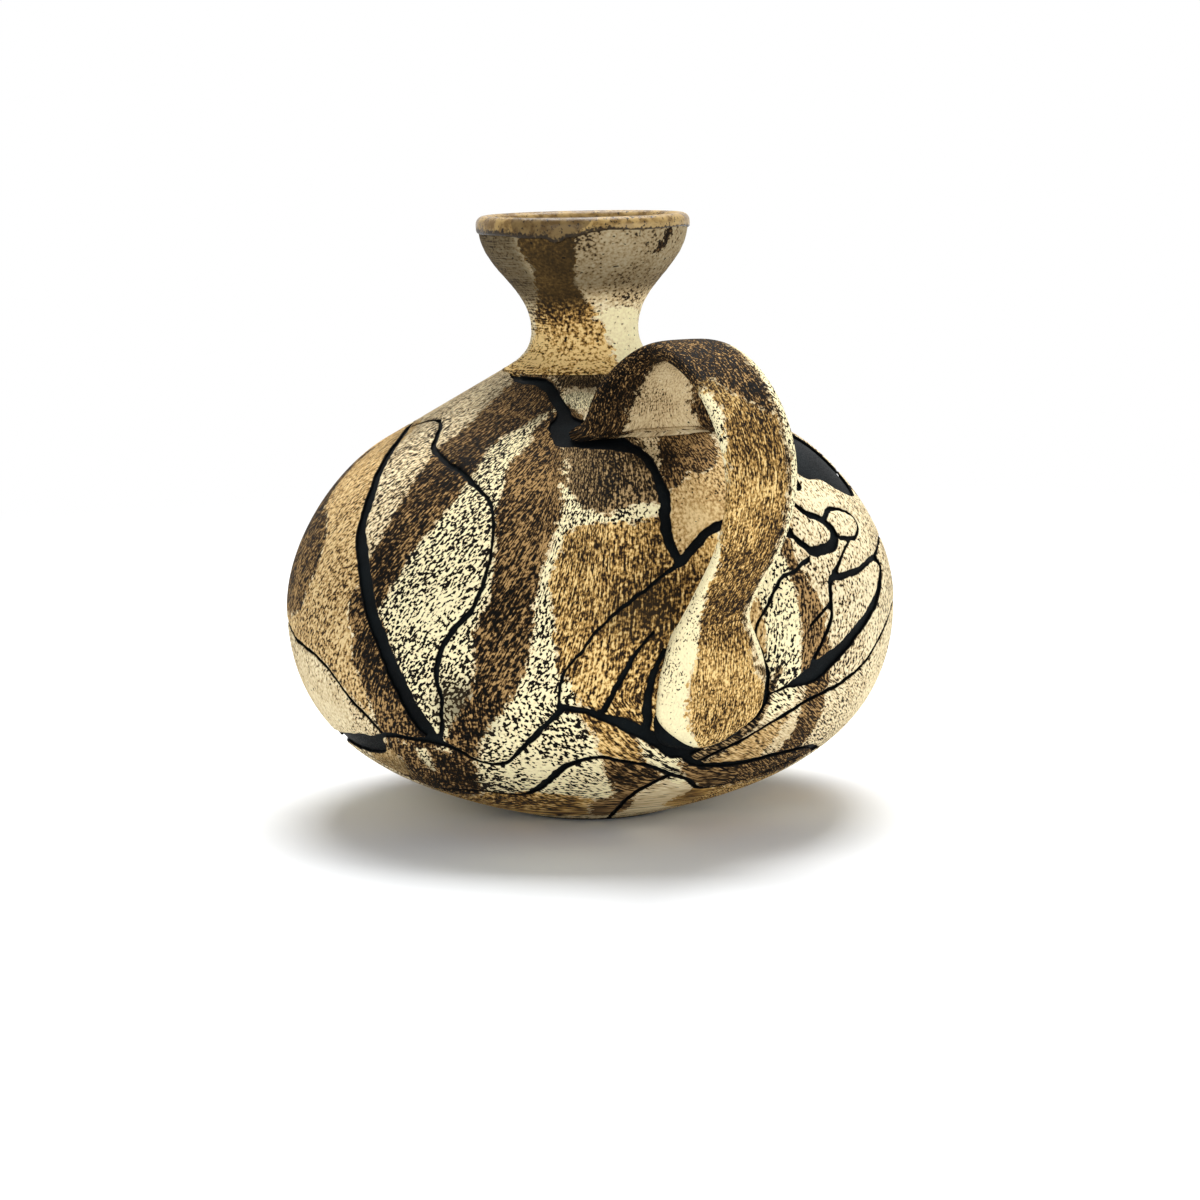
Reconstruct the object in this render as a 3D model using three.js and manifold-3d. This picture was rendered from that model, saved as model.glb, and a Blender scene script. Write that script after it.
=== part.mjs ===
// Handled vase in marbled stoneware, in millimetres, +Z up.
// The origin is the middle of the flat foot, on the axis of the neck. Azimuth 0 points to the front (-Y)
// and grows towards the right (+X); the handle stands at the front right.
import * as THREE from 'three';
import * as BufferGeometryUtils from 'three/addons/utils/BufferGeometryUtils.js';
import Module from 'manifold-3d';

const wasm = await Module();
wasm.setup();

// Driving dimensions of the turned body
const footRadius = 31;
const footLift = 0.8;
const bowlAngle = 16;
const bowlFullness = 46;
const bellyRadius = 120;
const bellyHeight = 83;
const lowerRoundness = 54;
const upperRoundness = 24;
const shoulderRadius = 80;
const shoulderHeight = 148;
const neckJointRadius = 34;
const neckJointHeight = 174;
const neckFillet = 8;
const waistRadius = 21;
const waistHeight = 190;
const waistEase = 8;
const cupFlare = 18;
const cupRadius = 41;
const mouthHeight = 234;

// Driving dimensions of the walls, coats and joints
const skinThickness = 1.2;
const seamGap = 0.3;
const wallThickness = 5.2;
const neckWall = 5;
const slipThickness = 0.9;
const slipSpread = 0.8;
const glazeThickness = 0.5;
const glazeLap = 6;
const crackWidth = 2.2;

// Driving dimensions of the handle
const handleAzimuth = 25;
const padAzimuth = 21.5;
const handleReach = 27;
const handleOuterHeight = 140;
const crestRadius = 88;
const crestHeight = 187;
const rootPercent = 88;
const padTopPercent = 51;
const padEndPercent = 33.5;
const strapWidth = 29;
const strapNeckWidth = 24;
const strapThickness = 7.5;
const rootWidth = 56;
const rootThickness = 10;
const padWidth = 42;
const padEndWidth = 24;
const padThickness = 8;
const padEndThickness = 6;
const padRise = 2;
const rootLean = 1;
const strapSquareness = 0.65;

// Facet counts
const facets = 32;
const bellyRings = 12;
const innerRings = 8;
const neckRings = 8;
const strapSides = 12;
const strapSteps = 8;
const lipSteps = 4;

const radians = THREE.MathUtils.degToRad;
const lerp = THREE.MathUtils.lerp;
const smoothstep = THREE.MathUtils.smoothstep;

// The shoulder runs straight from its turn up to the neck joint.
const shoulderSlope = Math.atan2(neckJointHeight - shoulderHeight, shoulderRadius - neckJointRadius);

// The outer outline of the marbled skin from the foot edge up to the neck joint, as radius and height.
function bellyOutline() {
  const outline = new THREE.Path();
  const startRadius = footRadius + skinThickness + 2 * seamGap;
  const bowl = radians(bowlAngle);
  outline.moveTo(startRadius, footLift);
  outline.bezierCurveTo(
    startRadius + bowlFullness * Math.cos(bowl), footLift + bowlFullness * Math.sin(bowl),
    bellyRadius, bellyHeight - lowerRoundness, bellyRadius, bellyHeight);
  outline.bezierCurveTo(
    bellyRadius, bellyHeight + upperRoundness,
    shoulderRadius + upperRoundness * Math.cos(shoulderSlope),
    shoulderHeight - upperRoundness * Math.sin(shoulderSlope),
    shoulderRadius, shoulderHeight);
  outline.lineTo(neckJointRadius, neckJointHeight);
  return outline;
}

const belly = bellyOutline();
const bellyLength = belly.getLength();

// The outline point at a percentage of the way up the belly, moved out along its normal by an offset.
// Past the ends the outline runs on straight.
function bellyPoint(percent, offset = 0) {
  const share = THREE.MathUtils.clamp(percent / 100, 0, 1);
  const tangent = belly.getTangentAt(share);
  const beyond = (percent / 100 - share) * bellyLength;
  const normal = new THREE.Vector2(tangent.y, -tangent.x);
  return belly.getPointAt(share).addScaledVector(tangent, beyond).addScaledVector(normal, offset);
}

function bellyCoat(offset, rings = bellyRings) {
  return Array.from({ length: rings + 1 }, (_, ring) => bellyPoint(100 * ring / rings, offset));
}

// The neck starts past the ring of slip that joins it to the wall.
const slipPercent = 100 + 100 * (seamGap + slipThickness) / bellyLength;
const neckPercent = slipPercent + 100 * seamGap / bellyLength;

// The neck's outline runs from the joint through the waist to the cup, moved out by an offset.
function neckCoat(offset) {
  const start = bellyPoint(neckPercent);
  const lipHeight = mouthHeight - neckWall / 2;
  const outline = new THREE.Path();
  outline.moveTo(start.x, start.y);
  outline.bezierCurveTo(
    start.x - neckFillet * Math.cos(shoulderSlope), start.y + neckFillet * Math.sin(shoulderSlope),
    waistRadius, waistHeight - waistEase, waistRadius, waistHeight);
  outline.bezierCurveTo(
    waistRadius, waistHeight + cupFlare, cupRadius, lipHeight - cupFlare, cupRadius, lipHeight);
  return Array.from({ length: neckRings + 1 }, (_, ring) => {
    const tangent = outline.getTangentAt(ring / neckRings);
    const normal = new THREE.Vector2(tangent.y, -tangent.x);
    return outline.getPointAt(ring / neckRings).addScaledVector(normal, offset);
  });
}

// The half round of the lip from outside to inside, on a radius that grows by an offset.
function lipArc(offset) {
  const radius = neckWall / 2 + offset;
  return Array.from({ length: lipSteps - 1 }, (_, step) => {
    const angle = Math.PI * (step + 1) / lipSteps;
    return new THREE.Vector2(
      cupRadius - neckWall / 2 + radius * Math.cos(angle),
      mouthHeight - neckWall / 2 + radius * Math.sin(angle));
  });
}

function mergedByPosition(geometry) {
  const bare = geometry.clone();
  bare.deleteAttribute('normal');
  bare.deleteAttribute('uv');
  return BufferGeometryUtils.mergeVertices(bare, 1e-4);
}

function toSolid(geometry) {
  const bare = mergedByPosition(geometry);
  return new wasm.Manifold(new wasm.Mesh({
    numProp: 3,
    vertProperties: new Float32Array(bare.attributes.position.array),
    triVerts: new Uint32Array(bare.index.array),
  }));
}

function toGeometry(solid) {
  const mesh = solid.getMesh();
  const geometry = new THREE.BufferGeometry();
  geometry.setAttribute('position', new THREE.BufferAttribute(new Float32Array(mesh.vertProperties), 3));
  geometry.setIndex(new THREE.BufferAttribute(new Uint32Array(mesh.triVerts), 1));
  geometry.computeVertexNormals();
  return geometry;
}

// A solid turned round the axis from a closed outline, listed with the clay on its left.
function turned(outline) {
  const lathe = new THREE.LatheGeometry(outline, facets).rotateX(Math.PI / 2);
  return toSolid(lathe);
}

function closed(outline) {
  return [...outline, outline[0]];
}

// A closed tube through stations that each hold the same number of corners, in order round the section.
function loft(stations) {
  const sides = stations[0].length;
  const last = (stations.length - 1) * sides;
  const index = [];
  for (let first = 0; first < last; first += sides) {
    for (let side = 0; side < sides; side += 1) {
      const here = first + side;
      const next = first + (side + 1) % sides;
      index.push(here, next, next + sides, here, next + sides, here + sides);
    }
  }
  for (let side = 1; side + 1 < sides; side += 1) {
    index.push(0, side + 1, side, last, last + side, last + side + 1);
  }
  const positions = stations.flat().flatMap((corner) => corner.toArray());
  const geometry = new THREE.BufferGeometry();
  geometry.setAttribute('position', new THREE.Float32BufferAttribute(positions, 3));
  geometry.setIndex(index);
  return toSolid(geometry);
}

function outwards(azimuth) {
  return new THREE.Vector3(Math.sin(radians(azimuth)), -Math.cos(radians(azimuth)), 0);
}

function sideways(azimuth) {
  return new THREE.Vector3(Math.cos(radians(azimuth)), Math.sin(radians(azimuth)), 0);
}

function standing(azimuth, point) {
  return outwards(azimuth).multiplyScalar(point.x).setZ(point.y);
}

// The cracks torn through the marbled skin. Each point is an azimuth in degrees and a percentage of the
// way up the belly outline; the number after the points is the crack's share of crackWidth.
const cracks = {
  left_main: [[[-128, 103], [-116, 92], [-98, 84], [-78, 81], [-66, 78], [-59, 70], [-53, 64], [-48, 60],
    [-42, 52], [-37, 47], [-34, 39], [-32, 34]], 2],
  left_branch: [[[-80, 81], [-68, 86], [-46, 80], [-30, 76], [-22, 71], [-18, 58], [-24, 51], [-28, 45],
    [-28, 40], [-31, 33]], 0.8],
  neck_front: [[[-30, 104], [-26, 99], [-10, 91], [1, 88], [10, 84], [16, 80], [17, 72], [15, 64],
    [17, 61]], 1.6],
  loop: [[[17, 61], [26, 66], [36, 66], [44, 64], [49, 61]], 1.2],
  front: [[[17, 61], [6, 55], [-2, 48], [-6, 45], [-6, 41]], 0.7],
  girdle_left: [[[-67, 30], [-46, 34], [-32, 34], [-26, 30], [-18, 30], [-11, 36], [-5, 41]], 1.5],
  girdle_right: [[[-5, 41], [6, 38], [18, 32], [26, 35], [33, 38], [34, 44], [30, 50], [35, 56],
    [49, 61]], 1.4],
  pad_left: [[[10, 36], [10, 44], [13, 49]], 1],
  beside_pad: [[[1, 40], [4, 46], [10, 52]], 0.7],
  low_right: [[[18, 32], [24, 29], [33, 27], [54, 28], [68, 26], [84, 30]], 1],
  thin_right: [[[24, 29], [40, 35], [57, 41], [73, 46], [92, 49], [108, 47]], 0.6],
  tear_right: [[[34, 41], [42, 43], [50, 44], [61, 47], [72, 53], [74, 55], [68, 57], [54, 56],
    [48, 51], [42, 43]], 1.8],
  right_high: [[[66, 57], [84, 59], [96, 57], [108, 47]], 0.7],
  right_back: [[[90, 71], [104, 68], [118, 72], [132, 70], [146, 74]], 1],
  chip_left: [[[46, 71], [51, 67], [57, 66], [58, 63], [54, 60], [49, 61]], 1],
  chip_right: [[[57, 66], [64, 67], [70, 65], [69, 62], [58, 62]], 0.8],
  chip_end: [[[44, 64], [42, 68], [46, 71]], 1],
  left_low: [[[-108, 50], [-92, 47], [-77, 48], [-65, 46], [-53, 42], [-46, 34]], 0.7],
  front_low: [[[-56, 18], [-32, 21], [-20, 21], [-6, 30], [4, 31], [12, 29], [17, 27]], 0.9],
  bottom_right: [[[17, 27], [22, 25], [30, 20], [44, 22], [54, 25], [68, 26]], 0.8],
  back_girdle_left: [[[-67, 30], [-86, 28], [-104, 31], [-126, 27], [-148, 31], [-168, 27],
    [-184, 29]], 1.2],
  back_girdle_right: [[[84, 30], [104, 27], [124, 31], [142, 27], [160, 30], [176, 29]], 1.2],
  back_left: [[[-108, 50], [-126, 53], [-140, 62], [-150, 74], [-166, 86], [-172, 104]], 1.2],
  back_left_low: [[[-126, 27], [-118, 38], [-126, 53]], 1],
  back_right: [[[108, 47], [124, 50], [136, 60], [146, 74], [140, 88], [128, 104]], 1.4],
  back_middle: [[[172, 29], [166, 42], [172, 54], [164, 64], [146, 74]], 0.9],
  foot_left: [[[-67, 30], [-58, 24], [-56, 18], [-64, 8], [-60, -4]], 0.8],
  foot_front: [[[17, 27], [10, 21], [7, 12], [10, -4]], 0.8],
  foot_right: [[[68, 26], [76, 14], [70, -4]], 0.8],
  foot_back: [[[142, 27], [150, 14], [146, -4]], 0.8],
};

// Where the skin tore wide open and leaves the black wall bare, as closed outlines in the same terms.
const bareAreas = {
  behind_handle: [[44, 71], [52, 69], [58, 70], [63, 72], [70, 69], [80, 66], [89, 69], [92, 76],
    [82, 82], [66, 83], [52, 80]],
  under_root: [[-9, 86], [-4, 85], [6, 82], [12, 82], [10, 86], [0, 90], [-9, 91]],
};

// Cutters stand this far in and out of the skin, to pass it whole on every facet.
const cutReach = 3 * skinThickness;

// The slots that part the skin along a crack, one for each straight stretch, overlapping at its points.
function crackCutters([points, share]) {
  const halfWidth = crackWidth * share / 2;
  return points.slice(1).map((point, stretch) => {
    const ends = [points[stretch], point].map(([azimuth, percent]) => ({
      low: standing(azimuth, bellyPoint(percent, -cutReach)),
      high: standing(azimuth, bellyPoint(percent, cutReach)),
    }));
    const along = new THREE.Vector3().subVectors(ends[1].high, ends[0].high).normalize();
    const stations = ends.map(({ low, high }, end) => {
      const normal = new THREE.Vector3().subVectors(high, low).normalize();
      const side = new THREE.Vector3().crossVectors(normal, along).setLength(halfWidth);
      const past = along.clone().multiplyScalar((end === 0 ? -1 : 1) * halfWidth);
      return [[low, -1], [low, 1], [high, 1], [high, -1]].map(([corner, sign]) =>
        corner.clone().add(past).addScaledVector(side, sign));
    });
    return loft(stations);
  });
}

// A plug through the skin inside a closed outline.
function bareCutter(outline) {
  const flat = outline.map(([azimuth, percent]) => new THREE.Vector2(azimuth, percent));
  const faces = THREE.ShapeUtils.triangulateShape(flat, []);
  const count = outline.length;
  const index = faces.flatMap(([a, b, c]) => [a, b, c, count + c, count + b, count + a]);
  for (let corner = 0; corner < count; corner += 1) {
    const next = (corner + 1) % count;
    index.push(corner, count + corner, count + next, corner, count + next, next);
  }
  const positions = [cutReach, -cutReach].flatMap((offset) =>
    outline.flatMap(([azimuth, percent]) => standing(azimuth, bellyPoint(percent, offset)).toArray()));
  const geometry = new THREE.BufferGeometry();
  geometry.setAttribute('position', new THREE.Float32BufferAttribute(positions, 3));
  geometry.setIndex(index);
  return toSolid(geometry);
}

// The clays and coats of the pot
const clay = {
  black: '#1d2123',
  glaze: '#5a3a1c',
  buff: '#c9ad7a',
  pale: '#e2cf9f',
  tan: '#a98350',
  brown: '#6b4c2b',
  ochre: '#b98d47',
};

// Each plate of skin between the cracks: a place on it, as azimuth and percentage, and its main clay.
const plates = {
  skin_front: [0, 70, clay.brown],
  skin_front_low: [-20, 25, clay.pale],
  skin_left_strip: [-36, 65, clay.pale],
  skin_left: [-90, 65, clay.buff],
  skin_left_low: [-90, 38, clay.buff],
  skin_under_handle: [22, 50, clay.ochre],
  skin_right_shoulder: [60, 90, clay.brown],
  skin_right: [100, 62, clay.pale],
  skin_right_strip: [84, 53, clay.buff],
  skin_right_low: [60, 34, clay.tan],
  skin_tear_island: [58, 51, clay.pale],
  skin_chip_left: [50, 65, clay.pale],
  skin_chip_right: [63, 64, clay.pale],
  skin_back: [-170, 50, clay.tan],
  skin_bottom_front: [-10, 12, clay.brown],
  skin_bottom_chip: [30, 13, clay.pale],
  skin_bottom_left: [-130, 12, clay.tan],
  skin_bottom_right: [90, 15, clay.brown],
};

// The skin's shell parted by every crack and bare area, as loose plates.
function skinPlates() {
  const outer = [...bellyCoat(0), bellyPoint(slipPercent)];
  const inner = [...bellyCoat(-skinThickness), bellyPoint(slipPercent, -skinThickness)];
  const shell = turned(closed([...outer, ...inner.reverse()]));
  const cutters = [
    ...Object.values(cracks).flatMap(crackCutters),
    ...Object.values(bareAreas).map(bareCutter),
  ];
  return shell.subtract(wasm.Manifold.union(cutters)).decompose();
}

// The plate that lies at a place on the belly.
function plateAt(loosePlates, azimuth, percent) {
  const probe = bareCutter([[azimuth - 1, percent], [azimuth, percent - 1], [azimuth + 1, percent],
    [azimuth, percent + 1]]);
  return loosePlates.find((plate) => !plate.intersect(probe).isEmpty());
}

// The black clay vessel that carries everything: a flat foot, a bowl and a dome open at the neck.
function blackWall() {
  const outer = bellyCoat(-skinThickness - seamGap);
  const inner = bellyCoat(-skinThickness - seamGap - wallThickness, innerRings).reverse();
  const floor = inner.at(-1).y;
  return turned([
    new THREE.Vector2(0, 0),
    new THREE.Vector2(footRadius, 0),
    ...outer,
    ...inner,
    new THREE.Vector2(0, floor),
  ]);
}

// The black slip between the wall and the neck.
function neckSlip() {
  const joint = 100 + 100 * seamGap / bellyLength;
  const outer = -skinThickness - seamGap;
  const inner = outer - neckWall;
  return turned(closed([
    bellyPoint(joint, inner), bellyPoint(joint, outer),
    bellyPoint(slipPercent, outer), bellyPoint(slipPercent, inner),
  ]));
}

// The neck and its cup, an open tube with a half-round lip.
function neck() {
  return turned(closed([...neckCoat(0), ...lipArc(0), ...neckCoat(-neckWall).reverse()]));
}

// The glaze that lines the neck, turns over the lip and stops a little below it outside.
function mouthGlaze() {
  const below = new THREE.Vector2(cupRadius, mouthHeight - neckWall / 2 - glazeLap);
  const coat = (offset) => [
    below.clone().setX(cupRadius + offset),
    new THREE.Vector2(cupRadius + offset, mouthHeight - neckWall / 2),
    ...lipArc(offset),
    ...neckCoat(-neckWall - offset).reverse(),
  ];
  return turned(closed([...coat(seamGap + glazeThickness), ...coat(seamGap).reverse()]));
}

// The glaze that lines the belly, so that the vase holds water.
function bellyGlaze() {
  const depth = -skinThickness - seamGap - wallThickness;
  const outer = bellyCoat(depth - seamGap, innerRings);
  const inner = bellyCoat(depth - seamGap - glazeThickness, innerRings).reverse();
  return turned([
    new THREE.Vector2(0, outer[0].y),
    ...outer,
    ...inner,
    new THREE.Vector2(0, inner.at(-1).y),
  ]);
}

// The strap's middle line: up from its root on the shoulder, over the crest, out, and down onto the belly.
function strapSpine() {
  const root = bellyPoint(rootPercent, -slipThickness);
  const crest = new THREE.Vector2(crestRadius, crestHeight);
  const outer = new THREE.Vector2(bellyRadius + handleReach, handleOuterHeight);
  const padTop = bellyPoint(padTopPercent, padRise);
  const rise = (crest.y - root.y) / 2;
  const drop = (outer.y - padTop.y) / 2;
  const bezier = (a, b, c, d) => new THREE.CubicBezierCurve(a, b, c, d).getPoints(strapSteps);
  const rising = bezier(root, root.clone().add(new THREE.Vector2(-rootLean, rise)),
    crest.clone().sub(new THREE.Vector2(rise, 0)), crest);
  const arching = bezier(crest, crest.clone().add(new THREE.Vector2(rise * 2, 0)),
    outer.clone().add(new THREE.Vector2(0, drop)), outer);
  const falling = bezier(outer, outer.clone().sub(new THREE.Vector2(0, drop)),
    padTop.clone().add(new THREE.Vector2(0, drop / 2)), padTop);
  const lying = Array.from({ length: strapSteps }, (_, step) => {
    const share = (step + 1) / strapSteps;
    return bellyPoint(lerp(padTopPercent, padEndPercent, share), lerp(padRise, 0, share));
  });
  return [...rising, ...arching.slice(1), ...falling.slice(1), ...lying];
}

// Stages along the strap: 0 the root, 1 the crest, 2 the outermost point, 3 the top of the pad, 4 its end.
const leanStages = [1.8, 3];
const strapWidths = [[0, rootWidth], [1, strapWidth], [1.6, strapWidth], [2.7, strapNeckWidth],
  [3.4, padWidth], [3.6, padWidth], [4, padEndWidth]];
const strapThicknesses = [[0, rootThickness], [1, strapThickness], [2.5, strapThickness],
  [3, padThickness], [4, padEndThickness]];

// The value that a list of stages and values eases to at a stage.
function eased(values, stage) {
  const next = Math.max(values.findIndex(([at]) => at >= stage), 1);
  const [[from, low], [to, high]] = [values[next - 1], values[next]];
  return lerp(low, high, smoothstep(stage, from, to));
}

// The strap, flared at both ends; grow widens it all round.
function strap(grow) {
  const spine = strapSpine();
  const stations = spine.map((point, step) => {
    const stage = step / strapSteps;
    const azimuth = lerp(handleAzimuth, padAzimuth, smoothstep(stage, ...leanStages));
    const width = eased(strapWidths, stage) + 2 * grow;
    const thickness = eased(strapThicknesses, stage) + 2 * grow;
    const before = standing(azimuth, spine[Math.max(step - 1, 0)]);
    const after = standing(azimuth, spine[Math.min(step + 1, spine.length - 1)]);
    const along = new THREE.Vector3().subVectors(after, before).normalize();
    const side = sideways(azimuth);
    const face = new THREE.Vector3().crossVectors(along, side).normalize();
    const middle = standing(azimuth, point);
    return Array.from({ length: strapSides }, (_, corner) => {
      const turn = 2 * Math.PI * (corner + 0.5) / strapSides;
      const squared = (value) => Math.sign(value) * Math.abs(value) ** strapSquareness;
      return middle.clone()
        .addScaledVector(side, squared(Math.cos(turn)) * width / 2)
        .addScaledVector(face, squared(Math.sin(turn)) * thickness / 2);
    });
  });
  return loft(stations);
}

// The body filled in solid, out to an offset from its skin.
function bodyMould(offset) {
  const coat = bellyCoat(offset);
  return turned([new THREE.Vector2(0, coat[0].y), ...coat, new THREE.Vector2(0, coat.at(-1).y)]);
}

function handleStrap() {
  return strap(0).subtract(bodyMould(2 * seamGap + slipThickness));
}

// The pads of black slip under the two ends of the strap, the upper one first.
function handleSlips() {
  const layer = bodyMould(seamGap + slipThickness).subtract(bodyMould(seamGap));
  const pads = strap(slipSpread).intersect(layer).decompose();
  const height = (pad) => pad.boundingBox().max[2];
  return pads.sort((first, second) => height(second) - height(first));
}

function part(name, solid, color, roughness) {
  const material = new THREE.MeshStandardMaterial({ color, roughness, metalness: 0 });
  const mesh = new THREE.Mesh(toGeometry(solid), material);
  mesh.name = name;
  return mesh;
}

const bareClay = 0.85;
const smoothClay = 0.6;
const glossyGlaze = 0.2;

const vase = new THREE.Group();
vase.add(
  part('black_wall', blackWall(), clay.black, smoothClay),
  part('belly_glaze', bellyGlaze(), clay.glaze, glossyGlaze),
  part('neck_slip_ring', neckSlip(), clay.black, smoothClay),
  part('neck', neck(), clay.buff, bareClay),
  part('mouth_glaze', mouthGlaze(), clay.glaze, glossyGlaze),
  part('handle_strap', handleStrap(), clay.ochre, bareClay),
);

const [rootSlip, padSlip] = handleSlips();
vase.add(
  part('handle_root_slip', rootSlip, clay.black, smoothClay),
  part('handle_pad_slip', padSlip, clay.black, smoothClay),
);

const loosePlates = skinPlates();
for (const [name, [azimuth, percent, color]] of Object.entries(plates)) {
  vase.add(part(name, plateAt(loosePlates, azimuth, percent), color, bareClay));
}

export default vase;
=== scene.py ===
import math

import bpy
import numpy as np
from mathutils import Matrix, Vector, noise


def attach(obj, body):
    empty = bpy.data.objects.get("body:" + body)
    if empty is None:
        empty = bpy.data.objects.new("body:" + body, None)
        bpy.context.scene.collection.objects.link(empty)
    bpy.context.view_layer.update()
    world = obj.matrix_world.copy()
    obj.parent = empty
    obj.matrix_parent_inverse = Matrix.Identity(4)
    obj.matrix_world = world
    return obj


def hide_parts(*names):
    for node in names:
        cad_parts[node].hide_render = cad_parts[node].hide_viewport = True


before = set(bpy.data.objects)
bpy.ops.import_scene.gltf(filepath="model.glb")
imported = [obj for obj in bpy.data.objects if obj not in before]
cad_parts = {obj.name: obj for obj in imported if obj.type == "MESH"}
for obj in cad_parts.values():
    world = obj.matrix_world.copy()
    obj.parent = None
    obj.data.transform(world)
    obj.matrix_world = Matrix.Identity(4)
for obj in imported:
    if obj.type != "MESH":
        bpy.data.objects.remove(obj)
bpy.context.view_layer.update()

# The black vessel is thrown from smooth black clay: a bowl and a dome on a small flat foot, open at the
# neck. It carries everything else, and shows wherever the marbled skin over it has torn.
mm = 0.001
foot_radius, foot_lift = 31, 0.8
foot_bevel, foot_bevel_height = 0.6, 0.4
bowl_angle, bowl_fullness = math.radians(16), 46
belly_radius, belly_height = 120, 83
lower_roundness, upper_roundness = 54, 24
shoulder_radius, shoulder_height = 80, 148
neck_joint_radius, neck_joint_height = 34, 174
skin_thickness, seam_gap, wall_thickness = 1.2, 0.3, 5.2
shoulder_slope = math.atan2(neck_joint_height - shoulder_height, shoulder_radius - neck_joint_radius)


def bezier(*corners, steps=240):
    """Points along a cubic curve from its four corners."""
    a, b, c, d = np.array(corners, float)
    t = np.linspace(0, 1, steps + 1)[:, None]
    return (1 - t) ** 3 * a + 3 * t * (1 - t) ** 2 * b + 3 * t * t * (1 - t) * c + t ** 3 * d


bowl_start = foot_radius + skin_thickness + 2 * seam_gap
shoulder_steps = 80
belly_line = np.vstack([
    bezier(
        (bowl_start, foot_lift),
        (bowl_start + bowl_fullness * math.cos(bowl_angle),
         foot_lift + bowl_fullness * math.sin(bowl_angle)),
        (belly_radius, belly_height - lower_roundness),
        (belly_radius, belly_height),
    ),
    bezier(
        (belly_radius, belly_height),
        (belly_radius, belly_height + upper_roundness),
        (shoulder_radius + upper_roundness * math.cos(shoulder_slope),
         shoulder_height - upper_roundness * math.sin(shoulder_slope)),
        (shoulder_radius, shoulder_height),
    )[1:],
    np.linspace((shoulder_radius, shoulder_height), (neck_joint_radius, neck_joint_height),
                shoulder_steps)[1:],
])


def line_run(line):
    """The distance along a line to each of its points."""
    return np.concatenate([[0], np.cumsum(np.hypot(*np.diff(line, axis=0).T))])


belly_length = line_run(belly_line)[-1]


def line_point(line, percent, offset=0.0):
    """A place at a percentage of the way along a line, moved out to its right by an offset in mm."""
    passed = line_run(line)
    slopes = np.gradient(line, passed, axis=0)
    run = np.asarray(percent, float) * passed[-1] / 100
    inside = np.clip(run, 0, passed[-1])
    place, slope = (np.stack([np.interp(inside, passed, values[:, k]) for k in (0, 1)], -1)
                    for values in (line, slopes))
    slope /= np.linalg.norm(slope, axis=-1, keepdims=True)
    normal = np.stack([slope[..., 1], -slope[..., 0]], -1)
    return place + slope * (run - inside)[..., None] + normal * np.asarray(offset, float)[..., None]


def belly_point(percent, offset=0.0):
    """Radius and height at a percentage of the way up the skin's outline, moved out by an offset in mm."""
    return line_point(belly_line, percent, offset)


def add(tree, kind, *inputs, **settings):
    """A node with its settings, and its sockets either set or joined to another node's output."""
    node = tree.nodes.new(kind)
    for name, value in settings.items():
        setattr(node, name, value)
    for socket, value in inputs:
        if isinstance(value, bpy.types.NodeSocket):
            tree.links.new(value, node.inputs[socket])
        else:
            node.inputs[socket].default_value = value
    return node


def reckon(tree, operation, *values):
    """The result of a Math node."""
    return add(tree, "ShaderNodeMath", *enumerate(values), operation=operation).outputs[0]


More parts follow.
